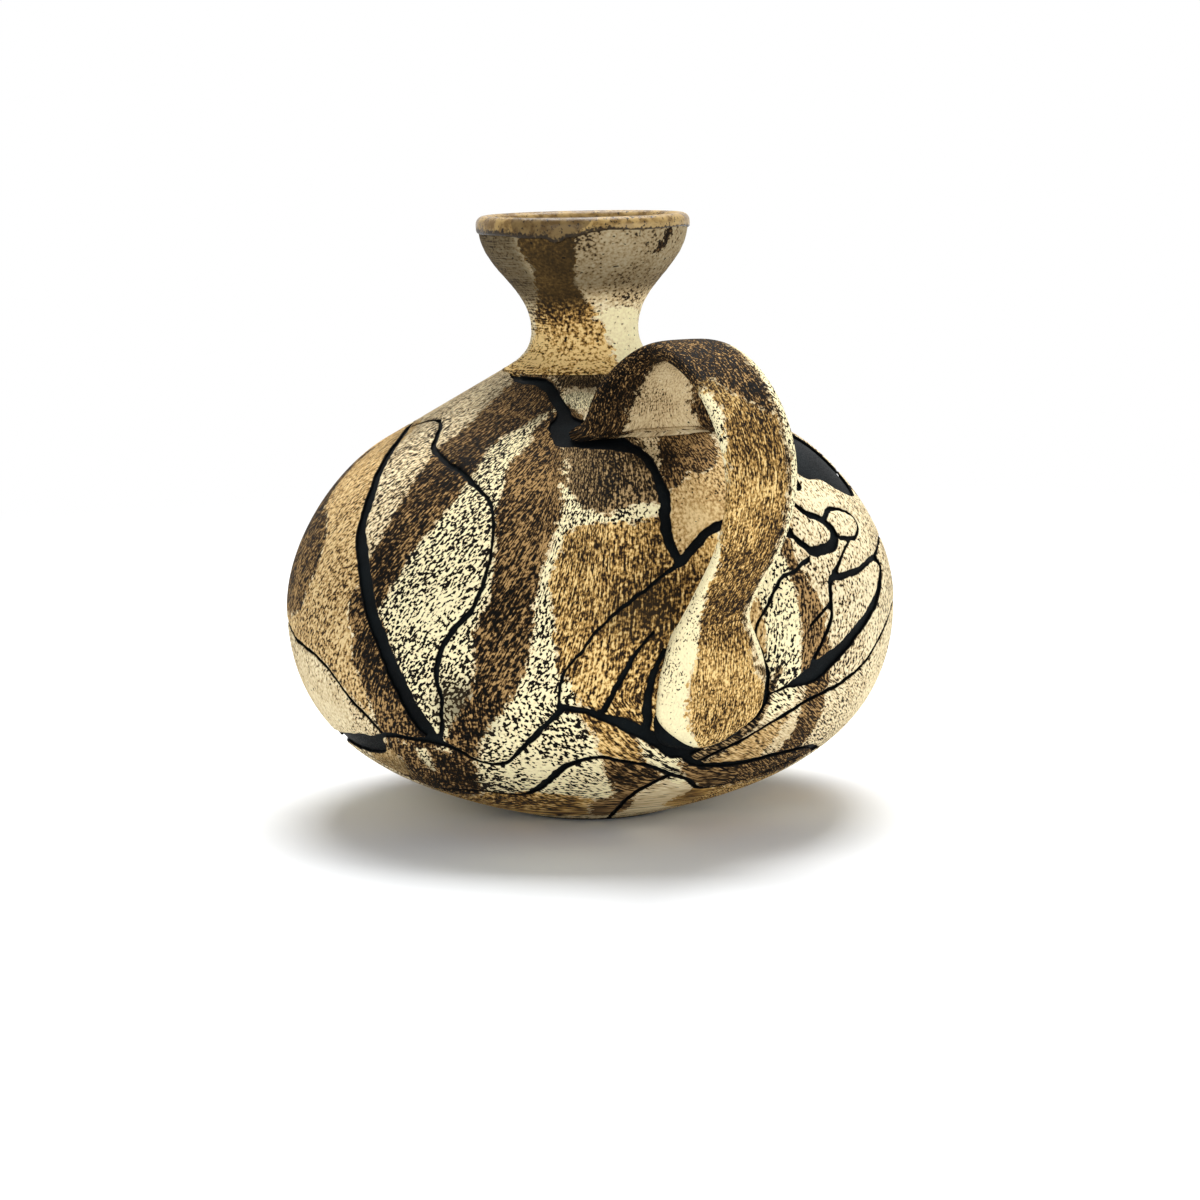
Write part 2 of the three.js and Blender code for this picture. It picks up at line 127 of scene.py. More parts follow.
def thrown_clay():
    """Turns an outline round the axis, as a wheel does, and leaves the finger rings of the thrower."""
    tree = bpy.data.node_groups.new("Thrown clay", "GeometryNodeTree")
    for name, kind in (("Outline", "Geometry"), ("Facets", "Float"), ("Ring Depth", "Float"),
                       ("Ring Spacing", "Float"), ("Seed", "Float"), ("Clay", "Material")):
        tree.interface.new_socket(name, in_out="INPUT", socket_type="NodeSocket" + kind)
    tree.interface.new_socket("Pot", in_out="OUTPUT", socket_type="NodeSocketGeometry")
    given = tree.nodes.new("NodeGroupInput").outputs
    result = tree.nodes.new("NodeGroupOutput")
    rows = add(tree, "GeometryNodeAttributeDomainSize", (0, given["Outline"]), component="MESH").outputs[0]
    sheet = add(tree, "GeometryNodeMeshGrid", ("Vertices X", reckon(tree, "ADD", given["Facets"], 1.0)),
                ("Vertices Y", rows))
    index = add(tree, "GeometryNodeInputIndex").outputs[0]
    row = reckon(tree, "FLOORED_MODULO", index, rows)
    column = reckon(tree, "FLOOR", reckon(tree, "DIVIDE", index, rows))
    point = add(tree, "GeometryNodeSampleIndex", ("Geometry", given["Outline"]),
                ("Value", add(tree, "GeometryNodeInputPosition").outputs[0]), ("Index", row),
                data_type="FLOAT_VECTOR", domain="POINT").outputs[0]
    radius, _, height = add(tree, "ShaderNodeSeparateXYZ", (0, point)).outputs
    angle = reckon(tree, "MULTIPLY", reckon(tree, "DIVIDE", column, given["Facets"]), math.tau)
    across, along = reckon(tree, "SINE", angle), reckon(tree, "COSINE", angle)
    # The noise is read round a small circle, so that a ring wavers only a little on its way round.
    waver = 0.6
    where = add(tree, "ShaderNodeCombineXYZ", (0, reckon(tree, "MULTIPLY", across, waver)),
                (1, reckon(tree, "MULTIPLY", along, waver)),
                (2, reckon(tree, "DIVIDE", height, given["Ring Spacing"]))).outputs[0]
    rings = add(tree, "ShaderNodeTexNoise", ("Vector", where), ("W", given["Seed"]), ("Scale", 1.0),
                ("Detail", 2.0), noise_dimensions="4D").outputs[0]
    swell = reckon(tree, "MULTIPLY", reckon(tree, "SUBTRACT", rings, 0.5), given["Ring Depth"])
    swollen = reckon(tree, "MULTIPLY_ADD", swell, reckon(tree, "GREATER_THAN", radius, mm), radius)
    place = add(tree, "ShaderNodeCombineXYZ", (0, reckon(tree, "MULTIPLY", swollen, across)),
                (1, reckon(tree, "MULTIPLY", swollen, reckon(tree, "MULTIPLY", along, -1.0))),
                (2, height)).outputs[0]
    pot = add(tree, "GeometryNodeSetPosition", ("Geometry", sheet.outputs[0]), ("Position", place))
    pot = add(tree, "GeometryNodeMergeByDistance", ("Geometry", pot.outputs[0]), ("Distance", 1e-6))
    pot = add(tree, "GeometryNodeRealizeInstances", (0, pot.outputs[0]))
    pot = add(tree, "GeometryNodeSetMaterial", ("Geometry", pot.outputs[0]), ("Material", given["Clay"]))
    tree.links.new(pot.outputs[0], result.inputs[0])
    return tree


wheel_tree = thrown_clay()
wheel_sockets = {item.name: item.identifier for item in wheel_tree.interface.items_tree
                 if item.in_out == "INPUT"}


def thrown(name, outline, clay, facets=240, ring_depth=0.0, ring_spacing=1.5, seed=1.0):
    """A piece turned from an outline of radii and heights in mm, listed with the clay on its left."""
    points = [(radius * mm, 0, height * mm) for radius, height in outline]
    path = bpy.data.meshes.new(name)
    path.from_pydata(points, [(k, k + 1) for k in range(len(points) - 1)], [])
    piece = bpy.data.objects.new(name, path)
    bpy.context.collection.objects.link(piece)
    wheel = piece.modifiers.new("Thrown clay", "NODES")
    wheel.node_group = wheel_tree
    for socket, value in (("Facets", float(facets)), ("Ring Depth", ring_depth * mm),
                          ("Ring Spacing", ring_spacing * mm), ("Seed", seed), ("Clay", clay)):
        wheel[wheel_sockets[socket]] = value
    ready = piece.evaluated_get(bpy.context.evaluated_depsgraph_get())
    body = bpy.data.meshes.new_from_object(ready)
    piece.modifiers.clear()
    piece.data = body
    body.shade_smooth()
    return piece


def clay_finish(name, roughness, **constants):
    """A new material with its node tree, its shader and the place on the piece in millimetres."""
    clay = bpy.data.materials.new(name)
    clay.use_nodes = True
    tree = clay.node_tree
    shader = tree.nodes["Principled BSDF"]
    shader.inputs["Roughness"].default_value = roughness
    for socket, value in constants.items():
        shader.inputs[socket.replace("_", " ")].default_value = value
    place = add(tree, "ShaderNodeVectorMath", (0, add(tree, "ShaderNodeTexCoord").outputs["Object"]),
                (1, (1 / mm, 1 / mm, 1 / mm)), operation="MULTIPLY").outputs[0]
    return clay, tree, shader, place


def grain(tree, place, scale, detail=2.0, roughness=0.55):
    """Noise with features of about 1 / scale millimetres."""
    return add(tree, "ShaderNodeTexNoise", ("Vector", place), ("Scale", scale), ("Detail", detail),
               ("Roughness", roughness)).outputs[0]


def ramp(tree, value, low, high, to_low=0.0, to_high=1.0):
    """A value brought from one range to another, eased at both ends."""
    return add(tree, "ShaderNodeMapRange", (0, value), (1, low), (2, high), (3, to_low), (4, to_high),
               interpolation_type="SMOOTHSTEP").outputs[0]


def blend(tree, share, first, second):
    """Two colours mixed by a share."""
    node = tree.nodes.new("ShaderNodeMix")
    node.data_type = "RGBA"
    sockets = [socket for socket in node.inputs if socket.type == "RGBA"]
    for socket, value in ((node.inputs[0], share), (sockets[0], first), (sockets[1], second)):
        if isinstance(value, bpy.types.NodeSocket):
            tree.links.new(value, socket)
        else:
            socket.default_value = (*value, 1.0) if isinstance(value, tuple) else value
    return next(socket for socket in node.outputs if socket.type == "RGBA")


def bumped(tree, shader, height, depth, strength=1.0):
    """Raises the surface by a height between 0 and 1, times a depth in millimetres."""
    bump = add(tree, "ShaderNodeBump", ("Height", height), ("Distance", depth * mm), ("Strength", strength))
    tree.links.new(bump.outputs[0], shader.inputs["Normal"])


def black_clay_finish():
    """Smooth black clay: nearly even, with a faint wash and small pores."""
    clay, tree, shader, place = clay_finish("Smooth black clay", 0.55, Specular_IOR_Level=0.04)
    wash = grain(tree, place, 0.06, 4.0)
    pores = grain(tree, place, 1.4, 3.0)
    tone = blend(tree, ramp(tree, wash, 0.35, 0.7), (0.0016, 0.0022, 0.0026), (0.005, 0.007, 0.008))
    tone = blend(tree, ramp(tree, pores, 0.6, 0.7), tone, (0.009, 0.012, 0.013))
    tree.links.new(tone, shader.inputs["Base Color"])
    tree.links.new(ramp(tree, pores, 0.3, 0.7, 0.48, 0.72), shader.inputs["Roughness"])
    bumped(tree, shader, pores, 0.15, 0.6)
    return clay


black_clay = black_clay_finish()


def coat(offset, steps=150):
    """The belly's outline from the foot up to the neck joint, at an offset in mm."""
    return belly_point(np.linspace(0, 100, steps + 1), offset)


wall_outer = coat(-skin_thickness - seam_gap)
wall_inner = coat(-skin_thickness - seam_gap - wall_thickness)[::-1]
foot_outline = [(0, 0), (foot_radius - foot_bevel, 0), (foot_radius, foot_bevel_height)]
black_wall = thrown("black_vessel", [*foot_outline, *wall_outer, *wall_inner, (0, wall_inner[-1][1])],
                    black_clay)
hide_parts("black_wall")
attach(black_wall, "root")

# The glaze inside is poured in and swilled round before the firing, so that the vase holds water. It is
# a thin glossy brown coat with paler runs.
glaze_thickness, lining_steps = 0.5, 90


def glaze_finish():
    """Glossy brown glaze with paler runs and dark specks."""
    clay, tree, shader, place = clay_finish("Brown glaze", 0.12, Coat_Weight=0.3, Coat_Roughness=0.05)
    runs = grain(tree, place, 0.12, 4.0)
    specks = grain(tree, place, 0.8, 3.0)
    tone = blend(tree, ramp(tree, runs, 0.35, 0.65), (0.07, 0.03, 0.01), (0.2, 0.1, 0.03))
    tone = blend(tree, ramp(tree, specks, 0.6, 0.68), tone, (0.02, 0.01, 0.005))
    tree.links.new(tone, shader.inputs["Base Color"])
    tree.links.new(ramp(tree, runs, 0.3, 0.7, 0.08, 0.2), shader.inputs["Roughness"])
    bumped(tree, shader, runs, 0.3, 0.5)
    return clay


lining_depth = -skin_thickness - seam_gap - wall_thickness - seam_gap
lining_outer = coat(lining_depth, lining_steps)
lining_inner = coat(lining_depth - glaze_thickness, lining_steps)[::-1]
lining_outline = [(0, lining_outer[0][1]), *lining_outer, *lining_inner, (0, lining_inner[-1][1])]
belly_glaze = thrown("belly_lining", lining_outline, glaze_finish(), facets=128)
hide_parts("belly_glaze")
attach(belly_glaze, "root")

# The marbled skin is a slab of pale, buff, ochre and brown clays, pressed over the black vessel and
# stretched from inside until it tore. Its plates stand a little proud, with ragged edges.
slip_thickness = 0.9
joint_percent = 100 + 100 * seam_gap / belly_length
slip_percent = 100 + 100 * (seam_gap + slip_thickness) / belly_length

# The slab is cut from a fine net. A tear narrower than the net can show is cut at the narrowest width that
# keeps the plates apart, and then drawn together.
columns, rows = 600, 264
front_crowding = 19
narrowest_tear, thinnest_tear = 2.5, 0.5
least_radius, least_slope = 20, 0.3
places_per_mm = 1e4

# How far from an edge distances are worked out, and how far they are stored for the materials, in mm.
field_reach, far_from_edge = 14.0, 8

# Torn edges wander by one distance over one length, and fray by less over a shorter one, in mm. The seed
# makes every run of the script give the same vase.
edge_wander, wander_length = 0.8, 9
edge_fray, fray_length = 0.55, 2.6
seed_shift = (17.3, 5.1, 9.7)
noise_seed = 1

# Each tear holds azimuth in degrees, percentage of the way up, and width in mm, from point to point.
tears = {
    "left_main": [(-128, 103, 2.5), (-116, 92, 3), (-98, 86, 3), (-78, 83, 3.2), (-66, 78, 4),
                  (-57, 71, 4.6), (-53, 65, 5.4), (-48, 60, 6), (-43, 53, 6.2), (-39, 47, 6.6),
                  (-36, 41, 7), (-34, 37, 7), (-32, 34, 4)],
    "left_branch": [(-84, 84, 0.6), (-73, 87, 0.9), (-62, 87, 1.4), (-56, 84.5, 2), (-50, 81.5, 2),
                    (-40, 78.5, 2), (-33, 76.5, 1.9), (-24, 72.5, 1.4), (-20, 68, 1.1), (-19, 61, 1.1),
                    (-21, 55.5, 1.6), (-24, 52.5, 2.4), (-27.5, 49, 2), (-28.5, 45, 1.8), (-28.5, 41, 1.4),
                    (-31, 34, 1.4)],
    "neck_front": [(-62, 100.6, 2), (-52, 99.8, 3.4), (-40, 99.1, 4.4), (-28, 98.7, 4.8), (-20, 97, 4.4),
                   (-14.5, 94.8, 4.4), (-10.5, 92, 4.5), (-8, 89.5, 6), (1, 87, 7.5), (9, 84, 6.5),
                   (14.5, 80.5, 4.5), (16.5, 77, 3.6), (17, 72, 4), (15.5, 65, 3.6), (17, 61, 3)],
    "loop": [(17, 61, 3), (26, 66, 3.6), (36, 66, 2.5), (43.5, 63.5, 2.4), (45.5, 62, 3), (48, 60.6, 3)],
    "front": [(17, 61, 1.4), (12, 58.5, 1.1), (7, 56, 0.8), (0, 51, 0.8), (-5, 45.5, 0.9),
              (-6.2, 41, 1.1)],
    "girdle_left": [(-82, 30, 4), (-70, 30, 7), (-62, 30.4, 9.5), (-55, 31, 11), (-51, 31.6, 9),
                    (-49, 33, 4), (-46.5, 34, 2), (-38, 34.2, 2), (-32, 34, 2.8), (-28, 33, 1.8),
                    (-25, 31, 1.4), (-22, 30.3, 1.2), (-18, 30.6, 1.2), (-14, 34, 1.5), (-10, 37, 1.8),
                    (-5, 41, 2.2)],
    "girdle_right": [(-5, 41, 2), (-0.5, 40.3, 2.4), (2, 39.4, 3), (6, 38, 4.6), (13, 34.5, 5.8),
                     (18, 32, 5), (26, 35, 3.4), (33, 38.5, 2.4), (33.4, 44, 1.2), (30.4, 50, 1),
                     (34, 54.5, 1), (37.5, 57.3, 1.1), (41, 58.2, 1.5), (46, 59.7, 1.8)],
    "pad_left": [(10, 36, 3.4), (10, 42, 3.2), (11, 46, 2.4), (13, 49, 1.2)],
    "beside_pad": [(1.5, 40, 2), (4, 43.5, 2), (6, 46.5, 1.8), (8, 49, 1.4), (11, 51.5, 1)],
    "low_right": [(18, 32, 3), (21.5, 29.4, 3), (26, 28.5, 3.6), (33, 28, 3.6), (44, 28.6, 3),
                  (56, 28.4, 2.4), (68, 26, 2), (84, 30, 1.6)],
    "thin_right": [(22.5, 30, 1.2), (30, 33.2, 1.2), (38, 36.6, 1.4), (46, 39.2, 1.5), (54, 40.5, 1.6),
                   (62, 42.5, 1.5), (70, 46, 1.4), (80, 49, 1.2), (92, 49, 1.2), (108, 47, 1.2)],
    "tear_right": [(34, 41, 0.8), (38, 41.8, 1.2), (41.5, 42.4, 5), (45, 43.3, 7.5), (50, 45, 6.4),
                   (58, 48.2, 5), (64, 50.5, 4.6), (69, 53, 4), (73, 55.5, 3), (70, 57.5, 2.2),
                   (62, 56.6, 2), (55, 56.4, 2.4), (50.5, 56, 2.4), (49.3, 53.5, 1.6), (49, 51, 1.5),
                   (47, 48.5, 1.6), (45, 46, 1.8), (43.5, 44, 2)],
    "right_high": [(66, 57, 1.2), (84, 59, 1.2), (96, 57, 1.3), (108, 47, 1.4)],
    "right_back": [(90, 71, 2), (104, 68, 2), (118, 72, 1.8), (132, 70, 2.2), (146, 74, 2.4)],
    "chip_left": [(45, 70.5, 2), (49, 68, 2.4), (51.5, 66.2, 3.2), (55, 65, 3.6), (57, 62.8, 4.4),
                  (55, 61, 4.6), (50, 60.6, 4), (47, 60.8, 3.2)],
    "chip_right": [(55.5, 64.8, 2), (60, 66.2, 1.7), (65, 65.6, 1.3), (69.5, 64, 1.2), (68.5, 62.2, 1.2),
                   (64, 61.3, 1.5), (58.5, 61.8, 2)],
    "right_nick": [(49.2, 53, 1.5), (46, 51.6, 1.2), (43, 50.2, 0.7)],
    "right_thin": [(52, 57, 1.5), (57, 59.2, 1.2), (62, 61, 0.8)],
    "chip_end": [(44, 64, 2.2), (42, 68, 1.6), (46, 71, 2)],
    "left_low": [(-108, 50, 1.1), (-92, 48, 1.1), (-80, 48, 1.2), (-72, 46.5, 1.2), (-62, 45.5, 1.2),
                 (-55.5, 42.5, 1.3), (-52.5, 40, 1.2), (-49, 37.5, 1.2), (-46, 34, 1.4)],
    "front_low": [(-56, 18, 1.2), (-32, 21, 1.3), (-20, 20.6, 1.5), (-14, 23, 2.4), (-9, 27.5, 2.8),
                  (-4, 31, 2.4), (1, 32, 1.8), (6, 31, 1.5), (12, 29.6, 1.4), (17, 27, 1.6)],
    "bottom_right": [(17, 27, 2.2), (22, 25, 1.8), (30, 20.5, 1.8), (44, 22, 1.4), (54, 25, 1.4),
                     (68, 26, 1.4)],
    "back_girdle_left": [(-67, 30, 3), (-86, 28, 2.2), (-104, 31, 2.6), (-126, 27, 2), (-148, 31, 3),
                         (-168, 27, 2), (-184, 29, 2.4)],
    "back_girdle_right": [(84, 30, 1.6), (104, 27, 2.4), (124, 31, 3), (142, 27, 2.4), (160, 30, 2),
                          (176, 29, 2.4)],
    "back_left": [(-108, 50, 1.6), (-126, 53, 2.8), (-140, 62, 4.2), (-150, 74, 3.6), (-166, 86, 2.6),
                  (-172, 104, 2.4)],
    "back_left_low": [(-126, 27, 1.8), (-118, 38, 2.4), (-126, 53, 2.2)],
    "back_right": [(108, 47, 2), (124, 50, 3.2), (136, 60, 4.6), (146, 74, 3.4), (140, 88, 2.6),
                   (128, 104, 2.4)],
    "back_middle": [(172, 29, 1.8), (166, 42, 2.4), (172, 54, 1.8), (164, 64, 1.6), (146, 74, 2)],
    "foot_left": [(-67, 30, 2), (-58, 24, 2), (-56, 18, 1.8), (-64, 8, 1.6), (-60, -4, 1.6)],
    "foot_front": [(17, 27, 2), (11, 22, 2.4), (8, 12, 1.8), (10, -4, 1.6)],
    "foot_right": [(68, 26, 1.6), (76, 14, 1.8), (70, -4, 1.6)],
    "foot_back": [(142, 27, 1.8), (150, 14, 2), (146, -4, 1.6)],
}

# Where a whole flake of the skin is missing, as closed outlines of azimuth and percentage.
bare_areas = [
    [(44, 71), (47, 68.4), (49.6, 68.8), (51, 72.8), (52.6, 70.2), (55.4, 71), (56.6, 75), (59, 72.2),
     (66, 71), (73, 68), (82, 66.5), (89, 69), (92, 76), (82, 82), (66, 83), (52, 80)],
    [(-13, 88.5), (-9, 90), (-2, 88.8), (1, 87), (5, 86), (10, 85), (14, 81.5), (14, 80), (8, 81.5),
     (1, 82), (-4, 82.5), (-8, 82.5), (-11, 84.5)],
]

# The bands of clay in the slab, laid one over another in this order, as closed outlines. The pale and
# golden ones lie under the edges of the brown ones.
bands = [
    ("tan", [(-76, 85), (-66, 79), (-59, 73), (-54, 66), (-48, 60), (-45, 53), (-46, 46), (-47, 38),
             (-52, 41), (-60, 45.5), (-70, 46.5), (-80, 48), (-94, 48), (-108, 52), (-108, 68),
             (-92, 84)]),
    ("brown", [(-80, 68), (-71, 66), (-65, 62), (-64, 58), (-67, 53), (-72, 50.5), (-82, 49.5), (-94, 50),
               (-108, 46), (-120, 42), (-126, 50), (-122, 58), (-108, 60), (-98, 67), (-90, 76),
               (-84, 78)]),
    ("pale", [(-10, 94), (-22, 92), (-32, 85), (-33, 78), (-35, 71), (-39, 65), (-43, 59), (-43, 54),
              (-38, 48), (-35, 41), (-32, 33), (-27, 34), (-22, 39), (-18, 46), (-16, 54), (-15, 62),
              (-16, 70), (-17, 76), (-15, 83), (-13, 88)]),
    ("pale", [(-9, 76), (-5, 80), (-3.5, 74), (-1, 72), (4, 72), (10, 73), (16, 73), (16, 68.7),
              (10, 67.2), (4, 67), (-1, 67), (-3, 62), (-3, 54), (-2, 47), (-3, 42), (0, 39.5), (3, 36),
              (4, 31), (5, 26), (6, 20), (0, 19), (-20, 18), (-32, 19), (-31, 24), (-27, 31), (-24, 31),
              (-21, 36), (-19, 42), (-14, 48), (-12, 56), (-11, 64)]),
    ("ochre", [(-3.5, 66.5), (2, 67.3), (9, 67.5), (16, 68.2), (24, 66), (28, 60), (26, 48), (20, 36),
               (8, 37), (2, 39), (-2, 41.5), (-3.5, 44.5), (-5.5, 46), (-6, 50), (-6.5, 55), (-7, 58.5),
               (-6, 62)]),
    ("tan", [(16.5, 75), (17, 71), (15.5, 66), (16, 61.8), (18, 61.3), (26, 65.7), (36, 65.7), (44, 64),
             (46, 72), (40, 80), (28, 78)]),
    ("pale", [(30, 43), (29, 52), (33, 60), (37, 64), (41, 62), (42, 52), (42, 43), (38, 38), (33, 38)]),
    ("tan", [(29, 45), (28, 52), (31, 56), (32.5, 52), (32, 46)]),
    ("tan", [(22, 28), (30, 33), (38, 36.5), (45, 38), (44, 32), (36, 28.5), (28, 28)]),
    ("buff", [(38.5, 27), (41, 37.5), (46, 39), (48, 33), (48, 27)]),
    ("ochre", [(28, 22), (44, 20), (58, 22), (64, 14), (46, 8), (30, 10), (24, 14)]),
    ("ochre", [(-3.5, 41), (-1.5, 39), (0.5, 35.5), (1.8, 32), (8, 31), (14, 29.5), (18, 31), (14, 35),
               (8, 39), (0, 41)]),
    ("ochre", [(-52, 20), (-30, 20.5), (-14, 22), (0, 19), (4, 10), (-14, 5), (-44, 6)]),
    ("brown", [(-56, 31), (-46, 33), (-35, 33), (-28, 31.5), (-25, 29.5), (-28, 25), (-30.5, 20.5),
               (-43, 17), (-52, 20), (-58, 25)]),
    ("tan", [(-54, 31), (-49, 31.5), (-46, 31), (-46, 28), (-49, 25), (-54, 23), (-60, 27)]),
    ("pale", [(-38, 33), (-35.5, 33), (-36, 30), (-38, 27), (-39, 29)]),
    ("brown", [(-47, 57), (-49.5, 53.5), (-48, 49), (-48.5, 46), (-46.5, 43), (-45.5, 39), (-46, 34),
               (-40, 33), (-33, 33), (-34, 39), (-37, 46), (-41, 53)]),
    ("brown", [(-47, 101), (-47, 92), (-45, 88), (-47, 82), (-45, 75), (-45, 67), (-46, 62), (-47, 57),
               (-42, 54), (-39, 57.5), (-36, 63), (-33, 67), (-30, 72), (-28.5, 78), (-29.3, 82),
               (-25, 86), (-19, 90), (-12, 93), (-15, 98), (-22, 103), (-40, 104)]),
    ("brown", [(-8, 93), (-17, 88), (-17, 83.5), (-20, 79), (-19.7, 74), (-19.5, 70), (-18, 64), (-18, 57),
               (-20.5, 52), (-21, 46), (-23.5, 41), (-28, 37), (-30, 33), (-27, 30.5), (-24.5, 31),
               (-22, 35), (-19, 38.5), (-15.5, 41), (-12.5, 45), (-10.5, 50), (-10, 55), (-9, 60),
               (-7, 65), (-5.7, 70), (-4.5, 74), (-3, 80), (0, 88)]),
    ("dark", [(-9, 88), (6, 88), (16, 83), (17, 71.4), (12, 70.6), (6, 69.8), (4, 68.8), (0, 70), (-2, 71),
              (-4, 73.5), (-5, 77), (-7, 82)]),
    ("pale", [(-6.2, 79.6), (-4.6, 78.6), (-4.9, 76.4), (-6, 76.4)]),
    ("pale", [(-6, 74.6), (-4, 73.4), (-4.4, 71.4), (-6.2, 72.4)]),
    ("brown", [(17, 73), (18.5, 78), (21, 82), (25, 86), (40, 88), (40, 82), (34, 77.5), (28, 75.2),
               (25, 76), (22, 73.6)]),
    ("brown", [(40, 65), (39, 62), (40, 58), (40.5, 52), (40.5, 47), (41, 44), (43, 41.5), (43.5, 38),
               (43.6, 34), (43.6, 29), (51, 28), (51, 32), (50.5, 36), (49.3, 41), (48, 47), (46.5, 52),
               (44.2, 57), (42.5, 60), (42, 65)]),
    ("dark", [(19, 30.5), (24, 33.5), (30, 37), (34, 43), (36, 45), (35, 40), (33, 36), (28, 32),
              (22, 29)]),
    ("brown", [(1.8, 32), (3, 27), (5, 23), (4, 20), (0, 18), (-2, 13), (0, 6), (8, 6), (12, 14), (11, 21),
               (14, 25), (17, 28), (12, 30), (7, 31)]),
    ("pale", [(8.5, 36), (13, 33), (18.5, 31.5), (21, 28), (23.5, 25), (20, 24), (17, 26), (13, 29),
              (10, 32)]),
    ("brown", [(18, 31), (22, 29.5), (33, 28), (44, 28.5), (56, 28.3), (62, 27), (60, 23), (52, 21),
               (40, 20), (30, 21), (24, 24), (20, 27)]),
    ("pale", [(-11, 95.4), (-3, 96), (4, 95.4), (8, 93.5), (2, 92.4), (-6, 91.6)]),
    ("dark", [(-24, 101.5), (16, 101.5), (15, 98), (6, 97), (-4, 97.4), (-14, 97.4)]),
]

# Round the sides and back the bands are long ribbons: azimuth, percentage and width in mm.
ribbons = [
    ("tan", [(92, 102, 20), (98, 84, 20), (98, 66, 14), (104, 50, 16), (104, 34, 18), (94, 16, 22)]),
    ("brown", [(62, 102, 22), (66, 90, 26), (58, 80, 18), (48, 74, 10)]),
    ("brown", [(104, 104, 14), (112, 86, 24), (106, 68, 20), (116, 50, 26), (112, 30, 18), (124, 8, 12)]),
    ("pale", [(122, 100, 12), (130, 80, 20), (124, 62, 16), (134, 44, 22), (130, 26, 14), (138, 6, 8)]),
    ("ochre", [(140, 104, 16), (150, 84, 26), (146, 64, 30), (154, 44, 26), (152, 22, 22), (160, 2, 12)]),
    ("brown", [(162, 104, 12), (170, 84, 22), (168, 62, 24), (176, 42, 28), (172, 20, 20), (178, 0, 10)]),
    ("pale", [(-172, 104, 12), (-168, 80, 20), (-172, 60, 22), (-164, 40, 18), (-166, 16, 16)]),
    ("tan", [(-158, 100, 18), (-150, 80, 24), (-152, 58, 18), (-142, 36, 26), (-144, 10, 18)]),
    ("brown", [(-134, 104, 16), (-128, 84, 26), (-132, 64, 22), (-122, 44, 26), (-126, 22, 20),
               (-118, 2, 10)]),
    ("pale", [(-108, 100, 14), (-112, 78, 18), (-108, 62, 12), (-112, 46, 16), (-102, 22, 20)]),
]

# The clays that are laid over the buff one, in this order.
clays = ("tan", "pale", "ochre", "brown", "dark")


def standing(azimuth, place):
    """A radius and height turned to an azimuth in degrees: 0 is the front, and it grows to the right."""
    angle = np.radians(azimuth)
    return np.stack([place[..., 0] * np.sin(angle), -place[..., 0] * np.cos(angle),
                     place[..., 1] + 0 * angle], -1)


def smoothed(corners, closed=False, steps=4):
    """A smooth line through every corner."""
    corners = np.array(corners, float)
    if closed:
        around = np.vstack([corners[-1:], corners, corners[:2]])
    else:
        around = np.vstack([2 * corners[0] - corners[1], corners, 2 * corners[-1] - corners[-2]])
    t = (np.arange(steps) / steps)[:, None]
    line = [0.5 * (2 * b + (c - a) * t + (2 * a - 5 * b + 4 * c - d) * t ** 2
                   + (3 * b - a - 3 * c + d) * t ** 3)
            for a, b, c, d in zip(around, around[1:], around[2:], around[3:])]
    return np.vstack(line + ([] if closed else [corners[-1:]]))


def on_belly(line):
    """The corners in space of a line of azimuths and percentages."""
    return standing(line[:, 0], belly_point(line[:, 1]))


def belly_spot(azimuth, percent):
    """One place in space on the belly."""
    return on_belly(np.array([(azimuth, percent)], float))[0]


def fade(values, start, end):
    """0 up to the start, 1 beyond the end and evenly between them."""
    return np.clip((values - start) / (end - start), 0, 1)


def past_edge(points, corners, widths):
    """How far points lie outside the edge of a line of varying width, in mm."""
    far = np.full(len(points), field_reach)
    margin = field_reach + widths.max() / 2
    near = np.all((points > corners.min(0) - margin) & (points < corners.max(0) + margin), axis=1)
    local = points[near]
    gap = np.full(len(local), field_reach)
    for start, end, wide, wider in zip(corners, corners[1:], widths, widths[1:]):
        step = end - start
        share = np.clip((local - start) @ step / max(step @ step, 1e-9), 0, 1)
        away = np.linalg.norm(local - start - share[:, None] * step, axis=1)
        gap = np.minimum(gap, away - (wide + share * (wider - wide)) / 2)
    far[near] = gap
    return far


def encloses(outline, azimuth, percent):
    """Which places lie inside a closed outline."""
    within = np.zeros(azimuth.shape, bool)
    for (a0, p0), (a1, p1) in zip(outline, np.roll(outline, -1, axis=0)):
        if p0 != p1:
            within ^= ((p0 > percent) != (p1 > percent)) & (
                azimuth < (a1 - a0) * (percent - p0) / (p1 - p0) + a0)
    return within


def inside_depth(points, across, up, corners, to_space=on_belly):
    """How deep points lie inside a closed outline, in mm, and less than 0 outside it."""
    line = smoothed(corners, closed=True)
    ring = np.vstack([line, line[:1]])
    gap = past_edge(points, to_space(ring), np.zeros(len(ring)))
    return np.where(encloses(line, across, up), gap, -gap)


def painted(layers, count):
    """The depth inside each clay where layers, as pairs of a clay and its depths, cover one another."""
    depths = {clay: np.full(count, -field_reach) for clay in clays}
    for clay, depth in layers:
        for other in clays:
            depths[other] = (np.maximum if other == clay else np.minimum)(
                depths[other], depth if other == clay else -depth)
    return depths


def wandering(points, size, seed):
    """Three smooth random values between -1 and 1 for each point, that change over a size in mm."""
    noise.seed_set(noise_seed)
    shift = Vector([seed * step for step in seed_shift])
    return np.array([noise.noise_vector(Vector(point) / size + shift) for point in points])


def slab_grid():
    """The places of the fine net that the skin is cut from: azimuths crowd together at the front."""
    turn = np.linspace(-1, 1, columns + 1)
    azimuth = 180 * turn - front_crowding * np.sin(np.pi * turn)
    return np.meshgrid(azimuth, np.linspace(0, slip_percent, rows + 1), indexing="ij")


